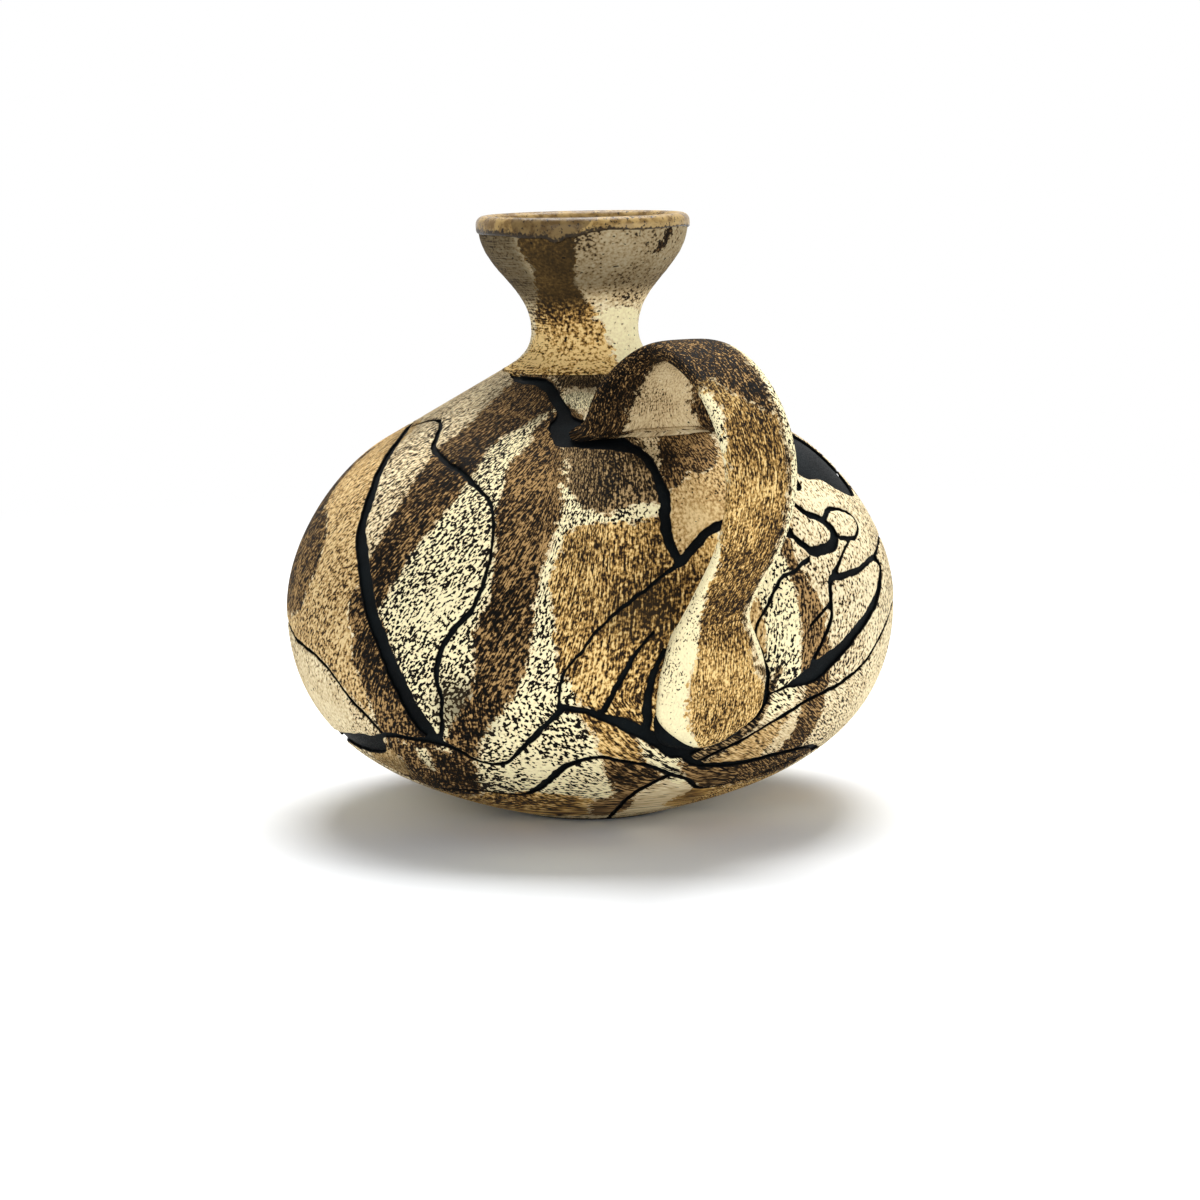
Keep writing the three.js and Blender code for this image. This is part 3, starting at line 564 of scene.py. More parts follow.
def slab_fields(azimuth, percent):
    """For each place: distance from the tears, true and widened, and depth inside each clay."""
    radius = belly_point(percent)[:, 0]
    points = standing(azimuth, belly_point(percent))
    drift = (edge_wander * wandering(points, wander_length, seed=1)
             + edge_fray * wandering(points, fray_length, seed=2))
    ragged_azimuth = azimuth + np.degrees(drift[:, 0] / np.maximum(radius, least_radius))
    ragged_azimuth = (ragged_azimuth + 180) % 360 - 180
    ragged_percent = percent + 100 * drift[:, 1] / belly_length
    points = standing(ragged_azimuth, belly_point(ragged_percent))
    true = np.full(len(points), field_reach)
    widened = true.copy()
    for tear in tears.values():
        line = smoothed(tear)
        widths = np.maximum(line[:, 2], thinnest_tear)
        path = on_belly(line)
        true = np.minimum(true, past_edge(points, path, widths))
        widened = np.minimum(widened, past_edge(points, path, np.maximum(widths, narrowest_tear)))
    for area in bare_areas:
        hole = inside_depth(points, ragged_azimuth, ragged_percent, area)
        true, widened = np.minimum(true, -hole), np.minimum(widened, -hole)
    layers = []
    for clay, corners in ribbons:
        line = smoothed(corners)
        layers.append((clay, -past_edge(points, on_belly(line), line[:, 2])))
    layers += [(clay, inside_depth(points, ragged_azimuth, ragged_percent, corners))
               for clay, corners in bands]
    depths = painted(layers, len(points))
    return np.array([true, widened, *(depths[clay] for clay in clays)])


def cut_slab():
    """The slab outside its tears: the fields at every corner, the triangles, and the number of corners
    that are whole. The corners after them were made by the cut, on the edges of the tears."""
    azimuth, percent = (grid.ravel() for grid in slab_grid())
    shape = (columns + 1, rows + 1)
    fields = slab_fields(azimuth, percent).reshape(-1, *shape)
    fields[:, -1] = fields[:, 0]
    radius = belly_point(percent)[:, 0].reshape(shape)
    turned = np.radians(np.gradient(azimuth.reshape(shape), axis=0)) * radius
    climbed = np.gradient(percent.reshape(shape), axis=1) * belly_length / 100
    around = np.gradient(fields[1], axis=0) / turned
    upward = np.gradient(fields[1], axis=1) / climbed
    corner = np.vstack([azimuth, percent, fields.reshape(len(fields), -1), around.ravel(), upward.ravel()])
    number = np.arange(corner.shape[1]).reshape(shape)
    a, b, c, d = (number[:-1, :-1].ravel(), number[1:, :-1].ravel(), number[1:, 1:].ravel(),
                  number[:-1, 1:].ravel())
    even = (np.add.outer(np.arange(columns), np.arange(rows)) % 2 == 0).ravel()
    triangles = np.vstack([
        np.stack([a, b, c], 1)[even], np.stack([a, c, d], 1)[even],
        np.stack([a, b, d], 1)[~even], np.stack([b, c, d], 1)[~even],
    ])
    depth = corner[3]
    kept = depth[triangles] > 0
    count = kept.sum(1)
    whole = triangles[count == 3]
    edges, faces = [], []

    def cut(first, second):
        """The number of a new corner on each edge, counted on from the corners of the net."""
        edges.append(np.stack([first, second], 1))
        return corner.shape[1] + sum(len(part) for part in edges[:-1]) + np.arange(len(first))

    for lone, share in ((True, 1), (False, 2)):
        some, marks = triangles[count == share], kept[count == share]
        turn = np.argmax(marks if lone else ~marks, axis=1)
        tip, left, right = (np.take_along_axis(some, ((turn + k) % 3)[:, None], 1)[:, 0] for k in range(3))
        to_left, to_right = cut(tip, left), cut(tip, right)
        if lone:
            faces.append(np.stack([tip, to_left, to_right], 1))
        else:
            faces.append(np.stack([to_left, left, right], 1))
            faces.append(np.stack([to_left, right, to_right], 1))
    edges = np.sort(np.vstack(edges), axis=1)
    unique, inverse = np.unique(edges, axis=0, return_inverse=True)
    inverse = inverse.ravel()
    first, second = unique.T
    share = depth[first] / (depth[first] - depth[second])
    fresh = corner[:, first] + share * (corner[:, second] - corner[:, first])
    renumber = np.concatenate([np.arange(corner.shape[1]), corner.shape[1] + inverse])
    triangles = renumber[np.vstack([whole, *faces])]
    return np.hstack([corner, fresh]), triangles, corner.shape[1]


def loose_plates(triangles, count):
    """For each corner, the number of the loose plate that it belongs to."""
    label = np.arange(count)
    while True:
        lowest = np.repeat(label[triangles].min(axis=1), 3)
        fresh = label.copy()
        np.minimum.at(fresh, triangles.ravel(), lowest)
        fresh = fresh[fresh]
        if np.array_equal(fresh, label):
            return label
        label = fresh


# The colours of each clay, from its darkest specks to its palest grain, with the value between 0 and 1 at
# which each colour stands.
clay_colours = {
    "buff": [(0.22, (0.02, 0.014, 0.009)), (0.30, (0.40, 0.28, 0.14)), (0.45, (0.62, 0.48, 0.27)),
             (0.9, (0.88, 0.77, 0.51))],
    "tan": [(0.14, (0.03, 0.018, 0.008)), (0.24, (0.27, 0.155, 0.055)), (0.5, (0.50, 0.32, 0.125)),
            (0.85, (0.76, 0.57, 0.29))],
    "pale": [(0.37, (0.005, 0.004, 0.003)), (0.41, (0.52, 0.42, 0.24)), (0.47, (0.81, 0.70, 0.42)),
             (0.9, (0.93, 0.85, 0.53))],
    "ochre": [(0.12, (0.012, 0.007, 0.004)), (0.32, (0.11, 0.060, 0.019)), (0.5, (0.30, 0.17, 0.050)),
              (0.68, (0.56, 0.335, 0.105)), (0.92, (0.85, 0.62, 0.27))],
    "brown": [(0.2, (0.002, 0.0016, 0.001)), (0.36, (0.016, 0.009, 0.004)), (0.5, (0.054, 0.030, 0.012)),
              (0.64, (0.145, 0.082, 0.031)), (0.86, (0.42, 0.26, 0.105))],
    "dark": [(0.2, (0.003, 0.0025, 0.002)), (0.36, (0.014, 0.009, 0.004)), (0.5, (0.054, 0.034, 0.014)),
             (0.64, (0.16, 0.100, 0.043)), (0.86, (0.44, 0.30, 0.145))],
}
# The colour that a high deep darkens the clay towards: its own darker tone, and painted shade.
stain_and_shade_colour = (0.034, 0.022, 0.009)
fleck_colour = (0.012, 0.009, 0.006)
torn_edge_colour = (0.003, 0.003, 0.003)

# The grain of the clay: how fine each kind is, and how far it is drawn out along the stretch.
streak_fineness, streak_stretch = 1.5, 0.14
speck_fineness, speck_stretch = 0.85, 0.85
cloud_fineness, ragged_fineness, fleck_fineness = 0.045, 0.4, 0.62
band_edge = 0.12


def clay_tones(tree, value, stops):
    """The colour of one clay for a value between 0 and 1, from stops of a value and a colour."""
    node = add(tree, "ShaderNodeValToRGB", (0, value))
    tones = node.color_ramp.elements
    while len(tones) < len(stops):
        tones.new(0.5)
    for element, (position, colour) in zip(tones, stops):
        element.position = position
        element.color = (*colour, 1)
    return node.outputs[0]


def weigh(tree, start, *parts):
    """A start value plus some values around one half, each times its weight."""
    for value, weight in parts:
        start = reckon(tree, "MULTIPLY_ADD", reckon(tree, "SUBTRACT", value, 0.5), weight, start)
    return start


def field(tree, name, socket="Fac"):
    """What is stored under a name at every corner of a piece."""
    return add(tree, "ShaderNodeAttribute", attribute_name=name).outputs[socket]


def marbled_finish(name):
    """Marbled clay: bands with ragged edges, black specks, and streaks where it was stretched."""
    clay, tree, shader, place = clay_finish(name, 0.85, Specular_IOR_Level=0.06)
    lay, swept = field(tree, "lay", "Vector"), field(tree, "swept", "Vector")
    drag, deep, calm, comb = (field(tree, kind) for kind in ("drag", "deep", "calm", "comb"))

    def drawn(where, stretch, fineness, detail, roughness):
        """Grain that is drawn out by a stretch along each axis."""
        longer = add(tree, "ShaderNodeVectorMath", (0, where), (1, stretch), operation="MULTIPLY")
        return grain(tree, longer.outputs[0], fineness, detail, roughness)

    upright = drawn(lay, (1, 1, streak_stretch), streak_fineness, 2.0, 0.6)
    sideways = drawn(swept, (streak_stretch, streak_stretch, 1), streak_fineness, 2.0, 0.6)
    streak = reckon(tree, "MULTIPLY_ADD", reckon(tree, "SUBTRACT", sideways, upright), drag, upright)
    specks = drawn(lay, (1, 1, speck_stretch), speck_fineness, 1.0, 0.5)
    cloud = grain(tree, place, cloud_fineness, 2.0)
    ragged = grain(tree, place, ragged_fineness, 3.0, 0.6)
    torn = weigh(tree, 0.0, (specks, 2.0), (streak, 3.0), (ragged, 9.0))

    # Where deep is above 0 the clay is darker and below 0 paler: partly its own tone, partly painted
    # light and shade. Calm clay has less contrast, and combed clay has more streaks and fewer specks.
    tone_and_shade_level = reckon(tree, "MULTIPLY_ADD", deep, -0.16, 0.5)
    level = weigh(tree, reckon(tree, "MAXIMUM", tone_and_shade_level, 0.42), (cloud, 0.7))
    low_level = weigh(tree, reckon(tree, "MAXIMUM", tone_and_shade_level, 0.28), (cloud, 0.9))
    contrast = reckon(tree, "MULTIPLY_ADD", calm, -0.75, 1.0)
    fine = weigh(tree, 0.0, (streak, reckon(tree, "MULTIPLY_ADD", comb, 3.0, 0.4)))
    spots = weigh(tree, 0.0, (specks, reckon(tree, "MULTIPLY_ADD", comb, -1.8, 2.9)))
    spotted = reckon(tree, "MULTIPLY_ADD", reckon(tree, "ADD", fine, spots), contrast, level)
    threads = weigh(tree, 0.0, (streak, reckon(tree, "MULTIPLY_ADD", comb, 1.4, 2.0)))
    grained = weigh(tree, threads, (specks, 2.3))
    mixed = reckon(tree, "MULTIPLY_ADD", grained, contrast, low_level)

    def laid_over(tone, clay_name, value):
        """One clay's colours laid over those under it, wherever its band is."""
        share = ramp(tree, reckon(tree, "ADD", field(tree, clay_name), torn), -band_edge, band_edge)
        return blend(tree, share, tone, clay_tones(tree, value, clay_colours[clay_name]))

    tone = clay_tones(tree, spotted, clay_colours["buff"])
    for clay_name, value in (("tan", spotted), ("pale", spotted), ("ochre", mixed)):
        tone = laid_over(tone, clay_name, value)
    tone = blend(tree, ramp(tree, deep, 0.3, 2.6, 0.0, 0.85), tone, stain_and_shade_colour)
    for clay_name in ("brown", "dark"):
        tone = laid_over(tone, clay_name, mixed)
    flecks = grain(tree, lay, fleck_fineness, 0.0)
    tone = blend(tree, ramp(tree, flecks, 0.2, 0.23, 0.9, 0.0), tone, fleck_colour)
    tone = blend(tree, ramp(tree, field(tree, "edge"), 0.0, 0.4, 1.0, 0.0), tone, torn_edge_colour)
    tree.links.new(tone, shader.inputs["Base Color"])
    tree.links.new(ramp(tree, spotted, 0.2, 0.4, 0.7, 0.9), shader.inputs["Roughness"])
    bumped(tree, shader, mixed, 0.2, 0.5)
    return clay


def give_fields(mesh, fields):
    """Stores numbers, or places in mm, at every corner of a mesh for its material to read."""
    for name, values in fields.items():
        kind, key = ("FLOAT", "value") if values.ndim == 1 else ("FLOAT_VECTOR", "vector")
        mesh.attributes.new(name, kind, "POINT").data.foreach_set(key, values.astype(np.float32).ravel())


def as_piece(name, points, faces, clay, fields):
    """A smooth piece from corners in mm."""
    mesh = bpy.data.meshes.new(name)
    mesh.from_pydata((points * mm).tolist(), [], faces)
    mesh.materials.append(clay)
    mesh.shade_smooth()
    give_fields(mesh, fields)
    piece = bpy.data.objects.new(name, mesh)
    bpy.context.collection.objects.link(piece)
    return piece


# Each plate's node, a place on it as azimuth and percentage, and the slot of its finish.
plates = {
    "skin_front": ((0, 72), "marbled_brown"),
    "skin_front_low": ((-20, 25), "marbled_pale"),
    "skin_left_strip": ((-36, 65), "marbled_pale"),
    "skin_left": ((-90, 65), "marbled_buff"),
    "skin_left_low": ((-90, 38), "marbled_buff"),
    "skin_under_handle": ((22, 50), "marbled_ochre"),
    "skin_right_shoulder": ((60, 90), "marbled_brown"),
    "skin_right": ((100, 62), "marbled_pale"),
    "skin_right_strip": ((84, 53), "marbled_buff"),
    "skin_right_low": ((60, 34), "marbled_buff"),
    "skin_tear_island": ((58, 51), "marbled_pale"),
    "skin_chip_left": ((50, 65), "marbled_pale"),
    "skin_chip_right": ((64, 64), "marbled_pale"),
    "skin_back": ((-170, 50), "marbled_buff"),
    "skin_bottom_front": ((-10, 12), "marbled_brown"),
    "skin_bottom_chip": ((30, 13), "marbled_pale"),
    "skin_bottom_left": ((-130, 12), "marbled_buff"),
    "skin_bottom_right": ((90, 15), "marbled_brown"),
}
edge_roll, edge_reach = 0.4, 1.3
surface_swell, swell_length = 0.15, 28

# Places where the clay is darker or paler, calmer, or combed into streaks: azimuth, percentage, reach in
# mm, and how much darker, calmer and more combed it is there. Some rows are painted light and shade
# rather than the clay's own tone: the skin is painted paler under the handle's loop and beside its foot,
# where the handle's shadow falls, and on the right of the belly, which the lamps light less, and painted
# darker high on the shoulder, which the ceiling panel lights most.
shades = [
    (11, 55, 18, 1.3, 0.1, 0.2), (7, 44, 14, 0.3, 0, 0.8), (2, 60, 16, 0.1, 0.1, 0.8),
    (8, 36, 12, 0.4, 0, 0.8), (16, 28, 12, 0, 0, 1.2), (-36, 76, 18, 1.2, 0, 0.1),
    # (-34, 92): painted shade high on the shoulder.
    (-34, 92, 18, 2.1, 0.1, 0.4), (-42, 62, 14, 0.7, 0, 0), (-24, 40, 16, 2.1, -0.1, 0),
    (-16, 52, 10, 0.3, 0, 0.3), (-14, 64, 15, -0.4, 0.1, 0.5), (-44, 46, 12, 0.6, 0, 0.4),
    (-14, 80, 15, 0.5, 0, 0.6), (5, 78, 16, 0.3, 0.2, 0.3), (-58, 86, 15, 0.1, -0.7, 0),
    (-54, 73, 9, -0.2, -0.6, 0), (-90, 60, 22, 0.3, 0, 0.7), (-86, 86, 20, 1.4, -0.1, 0.5),
    (-66, 75, 12, 0.2, 0, 0.3), (-80, 58, 10, 0.1, 0.1, 0.2), (-57, 50, 17, -0.1, -0.3, 0.2),
    (-62, 62, 12, 0.5, -0.2, 0.3), (-82, 74, 14, 0.6, 0.2, 0.4), (-78, 96, 16, 0.9, -0.2, 0.4),
    (-52, 97, 12, 0.5, -0.6, 0), (-74, 38, 24, -0.5, 0.95, 0), (-58, 38, 14, -0.5, 0.7, 0),
    # (24, 68): painted light under the handle's loop.
    (-104, 38, 26, -0.2, 0.8, 0), (24, 68, 17, -0.5, 0.8, 0), (17, 80, 9, 0.9, 0.9, 0),
    (74, 36, 22, -0.8, 0.5, 0), (43, 33, 8, -0.6, 0.9, 0), (22, 19, 16, -0.4, 0.95, 0),
    # (34, 50): painted light in the handle's shadow beside its foot.
    (28, 35, 12, 0.3, 0, 1), (34, 50, 13, -0.4, 0.2, 0.6), (-44, 26, 16, 2.1, 0.2, 0.8),
    (-56, 27, 9, 1, 0, 0.4), (-12, 30, 15, -0.3, 0.6, 0.2), (-28, 24, 12, 0.7, 0.5, 0.4),
    (2, 27, 13, -0.3, 0.5, 0.5), (0, 14, 18, 0.9, 0.3, 0.6), (40, 24, 18, 0.1, 0.2, 1),
    # (60, 64), (66, 48): painted light on the right of the belly. (44, 52): painted light in the handle's
    # shadow.
    (60, 64, 24, -1.6, -0.2, 0), (66, 48, 20, -1.1, -0.2, 0), (44, 52, 8, -0.5, 0, 0.4),
    (-33, 60, 16, 0.1, -0.3, 0), (2, 98, 8, 1.4, 0.3, 0), (7, 96, 6, 0.6, 0.3, 0), (-2, 63, 8, 0.7, 0, 0),
    # (-23, 91): painted shade high on the shoulder.
    (4, 53, 9, 0.7, 0, 0.2), (14, 64, 9, 0.5, 0, 0), (-23, 91, 10, 1.1, 0, 0.3), (-70, 82, 14, 1, 0, 0.4),
    (-48, 51, 9, -0.4, 0.1, 0),
]

# The grain leans over more and more above and below the girdle, where the tears run round the belly, and
# swirls round the foot of the handle. It is laid out on a tube of one radius, and in the swirl of another.
girdle_percent, upper_lean, lower_lean = 42, 0.75, 2.2
swirl_azimuth, swirl_percent, swirl_reach = 20, 42, 40
lay_radius, swirl_radius, swirl_mm_per_degree = 115, 45, 2.0


def grain_fields(azimuth, percent):
    """How the clay was drawn out: mostly up the belly, and in a swirl round the foot of the handle."""
    places = standing(azimuth, belly_point(percent))
    turn = np.radians(azimuth)
    low_right = fade(azimuth, -45, 35) * fade(azimuth, 120, 60)
    rise = percent - girdle_percent
    above, below = np.maximum(rise, 0), np.minimum(rise, 0)
    lean = upper_lean * (0.5 + 0.5 * np.cos(turn + 0.7)) * (
        above * np.clip(1 - (azimuth + 10) / 20, 0.3, 1) + below)
    lean = lean - lower_lean * low_right * below
    angle = turn - np.radians(lean)
    run = percent * belly_length / 100
    lay = np.stack([lay_radius * np.sin(angle), -lay_radius * np.cos(angle), run], -1)
    away = np.linalg.norm(places - belly_spot(swirl_azimuth, swirl_percent), axis=1)
    beside = (azimuth - swirl_azimuth) * swirl_mm_per_degree
    around = np.arctan2(run - swirl_percent * belly_length / 100, beside)
    swept = np.stack([swirl_radius * np.cos(around), swirl_radius * np.sin(around), away], -1)
    drag = np.clip(1.6 - away / swirl_reach * 1.6, 0, 1) * np.clip(0.8 - np.sin(around + 0.5), 0, 1)
    drag = drag * (azimuth > -30) * (azimuth < 100) * fade(percent, 30, 40)
    changes = np.zeros((3, len(azimuth)))
    for at_azimuth, at_percent, reach, *change in shades:
        distance = np.linalg.norm(places - belly_spot(at_azimuth, at_percent), axis=1)
        changes += np.array(change)[:, None] * np.exp(-(distance / reach) ** 2)
    deep, calm, comb = changes
    return {"lay": lay, "swept": swept, "drag": drag, "deep": deep, "calm": np.clip(calm, -0.8, 1),
            "comb": np.clip(comb, 0, 1)}


def torn_slab():
    """The slab cut and closed: its corners' azimuths, percentages and fields, and its triangles."""
    corner, triangles, whole = cut_slab()
    azimuth, percent, true, _, *rest = corner
    depths, (around, upward) = rest[:len(clays)], rest[len(clays):]
    on_tear = np.arange(len(azimuth)) >= whole
    # A tear that was cut too wide is drawn together to its true width.
    steep = np.maximum(np.hypot(around, upward), least_slope)
    close = np.where(on_tear, np.clip(true, 0, narrowest_tear / 2), 0)
    radius = np.maximum(belly_point(percent)[:, 0], least_radius)
    azimuth = azimuth - np.degrees(close * around / steep / radius)
    percent = percent - 100 * close * upward / steep / belly_length
    # The net's two ends meet at the back, where equal places become one corner.
    keys = np.round(standing(azimuth, belly_point(percent)) * places_per_mm).astype(np.int64)
    _, first, same = np.unique(keys, axis=0, return_index=True, return_inverse=True)
    triangles = first[same.ravel()][triangles]
    fields = dict(zip(clays, depths))
    fields["edge"] = np.where(on_tear, 0, np.clip(true, 0, far_from_edge))
    return azimuth, percent, fields, triangles


def press_plate(name, azimuth, percent, fields, faces, clay):
    """One closed plate: an outer face that rolls over at the tears, an inner face and the walls between."""
    count = len(azimuth)
    middle = standing(azimuth, belly_point(percent))
    roll = edge_roll * (1 - fade(fields["edge"], 0, edge_reach)) ** 2
    swell = surface_swell * (0.5 + 0.5 * wandering(middle, swell_length, seed=5)[:, 0])
    upper = standing(azimuth, belly_point(percent, -roll - swell))
    lower = standing(azimuth, belly_point(percent, -skin_thickness))
    sides = np.vstack([faces[:, [0, 1]], faces[:, [1, 2]], faces[:, [2, 0]]])
    code, back = sides[:, 0] * count + sides[:, 1], sides[:, 1] * count + sides[:, 0]
    rim = sides[~np.isin(code, back)]
    walls = np.stack([rim[:, 1], rim[:, 0], rim[:, 0] + count, rim[:, 1] + count], 1)
    everything = faces.tolist() + (faces[:, ::-1] + count).tolist() + walls.tolist()
    fields = {**fields, **grain_fields(azimuth, percent)}
    both = {kind: np.concatenate([values, values]) for kind, values in fields.items()}
    both["edge"] = np.concatenate([fields["edge"], np.zeros(count)])
    return as_piece(name, np.vstack([upper, lower]), everything, clay, both)


def press_skin():
    """Makes one closed piece for each plate of the torn slab."""
    azimuth, percent, fields, triangles = torn_slab()
    middle = standing(azimuth, belly_point(percent))
    label = loose_plates(triangles, len(azimuth))
    used = np.unique(triangles)
    clay = marbled_finish("Marbled clay")
    for name, (seed, slot) in plates.items():
        nearest = used[np.argmin(np.linalg.norm(middle[used] - belly_spot(*seed), axis=1))]
        mine = triangles[label[triangles[:, 0]] == label[nearest]]
        mine = mine[(mine[:, 0] != mine[:, 1]) & (mine[:, 1] != mine[:, 2]) & (mine[:, 0] != mine[:, 2])]
        members, faces = np.unique(mine, return_inverse=True)
        own = {kind: values[members] for kind, values in fields.items()}
        plate = press_plate(name + "_plate", azimuth[members], percent[members], own, faces.reshape(-1, 3),
                            clay)
        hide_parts(name)
        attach(plate, "root")
    return clay


marbled_clay = press_skin()

# The neck is thrown on its own from the same marbled clay and joined to the black vessel with a ring of
# black slip. Its wheel marks still show, and a dark golden band climbs it from the shoulder to the mouth.
neck_fillet, neck_wall = 8, 5
waist_radius, waist_height, waist_ease = 21, 190, 8
cup_radius, cup_flare, mouth_height = 41, 18, 234
neck_start = belly_point(slip_percent + 100 * seam_gap / belly_length)
lip_height = mouth_height - neck_wall / 2
neck_line = np.vstack([
    bezier(
        neck_start,
        neck_start + neck_fillet * np.array([-math.cos(shoulder_slope), math.sin(shoulder_slope)]),
        (waist_radius, waist_height - waist_ease),
        (waist_radius, waist_height),
        steps=100,
    ),
    bezier(
        (waist_radius, waist_height),
        (waist_radius, waist_height + cup_flare),
        (cup_radius, lip_height - cup_flare),
        (cup_radius, lip_height),
        steps=160,
    )[1:],
])


def lip(offset, steps=10):
    """The half round of the lip, from outside to inside."""
    turn = np.pi * np.arange(1, steps)[:, None] / steps
    reach = neck_wall / 2 + offset
    return (cup_radius - neck_wall / 2, lip_height) + reach * np.hstack([np.cos(turn), np.sin(turn)])


def neck_coat(offset, steps=110):
    """The neck's outline from its joint up to the lip, at an offset in mm."""
    return line_point(neck_line, np.linspace(0, 100, steps + 1), offset)


ring_span = np.array([joint_percent, slip_percent])
ring_out = -skin_thickness - seam_gap
ring_outline = [*belly_point(ring_span, ring_out), *belly_point(ring_span[::-1], ring_out - neck_wall)]
neck_slip = thrown("neck_slip", [*ring_outline, ring_outline[0]], black_clay)
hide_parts("neck_slip_ring")
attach(neck_slip, "root")

# The neck's bands as closed outlines of azimuth and height in mm.
neck_bands = [
    ("ochre", [(-71, 186), (-60, 196), (-46, 202), (-42, 206), (-36, 212), (-34, 216), (-37, 221),
               (-38, 227), (-40, 240), (5, 240), (3, 232), (-4, 229), (-4, 224), (-6, 214), (-5, 208),
               (0, 203), (8, 199), (14, 195), (20, 193), (22, 188), (28, 183), (26, 178), (22, 168),
               (-90, 168), (-78, 180)]),
    # The pale band low on the right is painted light on the waist, which faces up.
    ("pale", [(8, 196), (30, 199), (60, 198), (80, 192), (80, 166), (24, 166), (30, 183), (22, 189),
              (18, 194)]),
    ("brown", [(46, 220.5), (50.5, 219.6), (58, 230), (53.5, 231)]),
    ("brown", [(120, 240), (128, 220), (118, 204), (132, 190), (126, 168), (160, 168), (158, 190),
               (150, 206), (160, 222), (154, 240)]),
    ("tan", [(-170, 240), (-160, 218), (-176, 200), (-164, 184), (-170, 168), (-128, 168), (-134, 190),
             (-126, 210), (-138, 226), (-132, 240)]),
]


def on_neck(line):
    """The corners in space of a line of azimuths and heights."""
    heights = neck_line[:, 1]
    radius = np.interp(line[:, 1], heights, neck_line[:, 0])
    return standing(line[:, 0], np.stack([radius, line[:, 1]], -1))


# How dark the neck's clay is, how dark its golden band is, and how calm both are, at heights in mm. It is
# palest and most spotted at its foot, and darker and calmer up in the cup. This is partly painted light
# and shade: the foot, which faces up, is painted paler, the golden band's foot most of all, and the cup,
# which flares out over it, is painted darker. The band's dark brown higher up is its own colour.
neck_depths = [(170, 1.8), (174, 1), (178, -1), (186, -0.9), (192, -0.6), (200, 0.7), (209, 2), (222, 1.7),
               (234, 1.5)]
golden_depths = [(170, 1.8), (174, 0.2), (178, -2.3), (186, -2.1), (191, -1.3), (196, 0.4), (201, 1.8),
                 (206, 2.6), (213, 3), (221, 2.4), (228, 2)]
neck_calms = [(176, 0.1), (188, 0.2), (196, 0.2), (202, 0.6), (206, 0.85)]
# Painted light on the right of the waist, which faces up: the height, reach and strength of a ring painted
# paler there, and how pale and how calm its pale band is.
pale_ring_height, pale_ring_reach, pale_ring_depth = 199, 4, 1.7
pale_deep, pale_calm = -1.6, 0.75
neck_wander, neck_wander_length = (1.6, 0.5), 6

# The neck's grain runs round it, along the wheel marks.
neck_fineness, neck_grain, wheel_grain = 0.85, (1, 1, 1.5), (0.4, 0.4, 2)


def read_off(pairs, at):
    """The values that a list of places and values has at other places between them."""
    return np.interp(at, *np.array(pairs, float).T)


def corners_of(mesh):
    """The corners of a mesh in mm, with their azimuths."""
    points = np.empty(3 * len(mesh.vertices), np.float32)
    mesh.vertices.foreach_get("co", points)
    points = points.reshape(-1, 3) / mm
    return points, np.degrees(np.arctan2(points[:, 0], -points[:, 1]))


def neck_fields(mesh):
    """The depth inside each clay at every corner of the neck or of its glaze, and how the clay changes."""
    points, azimuth = corners_of(mesh)
    drift = wandering(points, neck_wander_length, seed=3)
    place = on_neck(np.stack([azimuth, points[:, 2]], -1))
    azimuth = azimuth + neck_wander[0] * drift[:, 0]
    height = points[:, 2] + neck_wander[1] * drift[:, 1]
    fields = painted([(clay, inside_depth(place, azimuth, height, corners, on_neck))
                      for clay, corners in neck_bands], len(points))
    # Painted shade: above the waist the left side of the neck and its cup is painted darker. That side's
    # clay also has more streaks and more contrast.
    left = fade(azimuth, -36, -44) * fade(azimuth, -120, -100)
    deep = read_off(neck_depths, height) + left * np.minimum(fade(height, 192, 202), 0.8)
    deep = np.where(fields["ochre"] > 0, read_off(golden_depths, height), deep)
    # Painted light: the right of the waist is painted paler in a ring, and its pale band paler still.
    pale_ring = np.exp(-((height - pale_ring_height) / pale_ring_reach) ** 2)
    deep = deep - pale_ring_depth * pale_ring * fade(azimuth, 0, 8)
    deep = np.where(fields["pale"] > 0, pale_deep, deep)
    calm = np.where(fields["pale"] > 0, pale_calm, read_off(neck_calms, height)) - 0.4 * left
    lay, around = neck_fineness * points * neck_grain, points * wheel_grain
    fields.update(edge=np.full(len(points), far_from_edge), lay=lay, swept=around, drag=0.15 + 0.7 * left,
                  deep=deep, calm=calm, comb=0.8 * left)
    return fields


neck = thrown("neck_and_cup", [*neck_coat(0), *lip(0), *neck_coat(-neck_wall)[::-1], neck_coat(0)[0]],
              marbled_clay, facets=256, ring_depth=0.5, ring_spacing=2.4, seed=4.0)
give_fields(neck.data, neck_fields(neck.data))
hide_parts("neck")
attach(neck, "root")

# Clear brown glaze coats the inside of the neck, turns over the lip and stops below it outside, in a dark
# uneven line with a drip or two. The clay's bands show through it.
glaze_lap, edge_taper, edge_thickness = 6, 2.5, 0.06
lap_percent = 100 - 100 * glaze_lap / line_run(neck_line)[-1]

# How far down the glaze ran: azimuth and the height of its lower edge in mm.
glaze_edge = [(-180, 227), (-120, 228.6), (-72, 228), (-51, 228), (-40, 227.6), (-34, 227), (-22, 227),
              (-19, 226.6), (-16, 225), (-12, 225.4), (-9, 227), (-4, 227.4), (4, 229), (14, 230),
              (32, 229.6), (66, 230), (110, 228), (150, 229), (180, 227)]


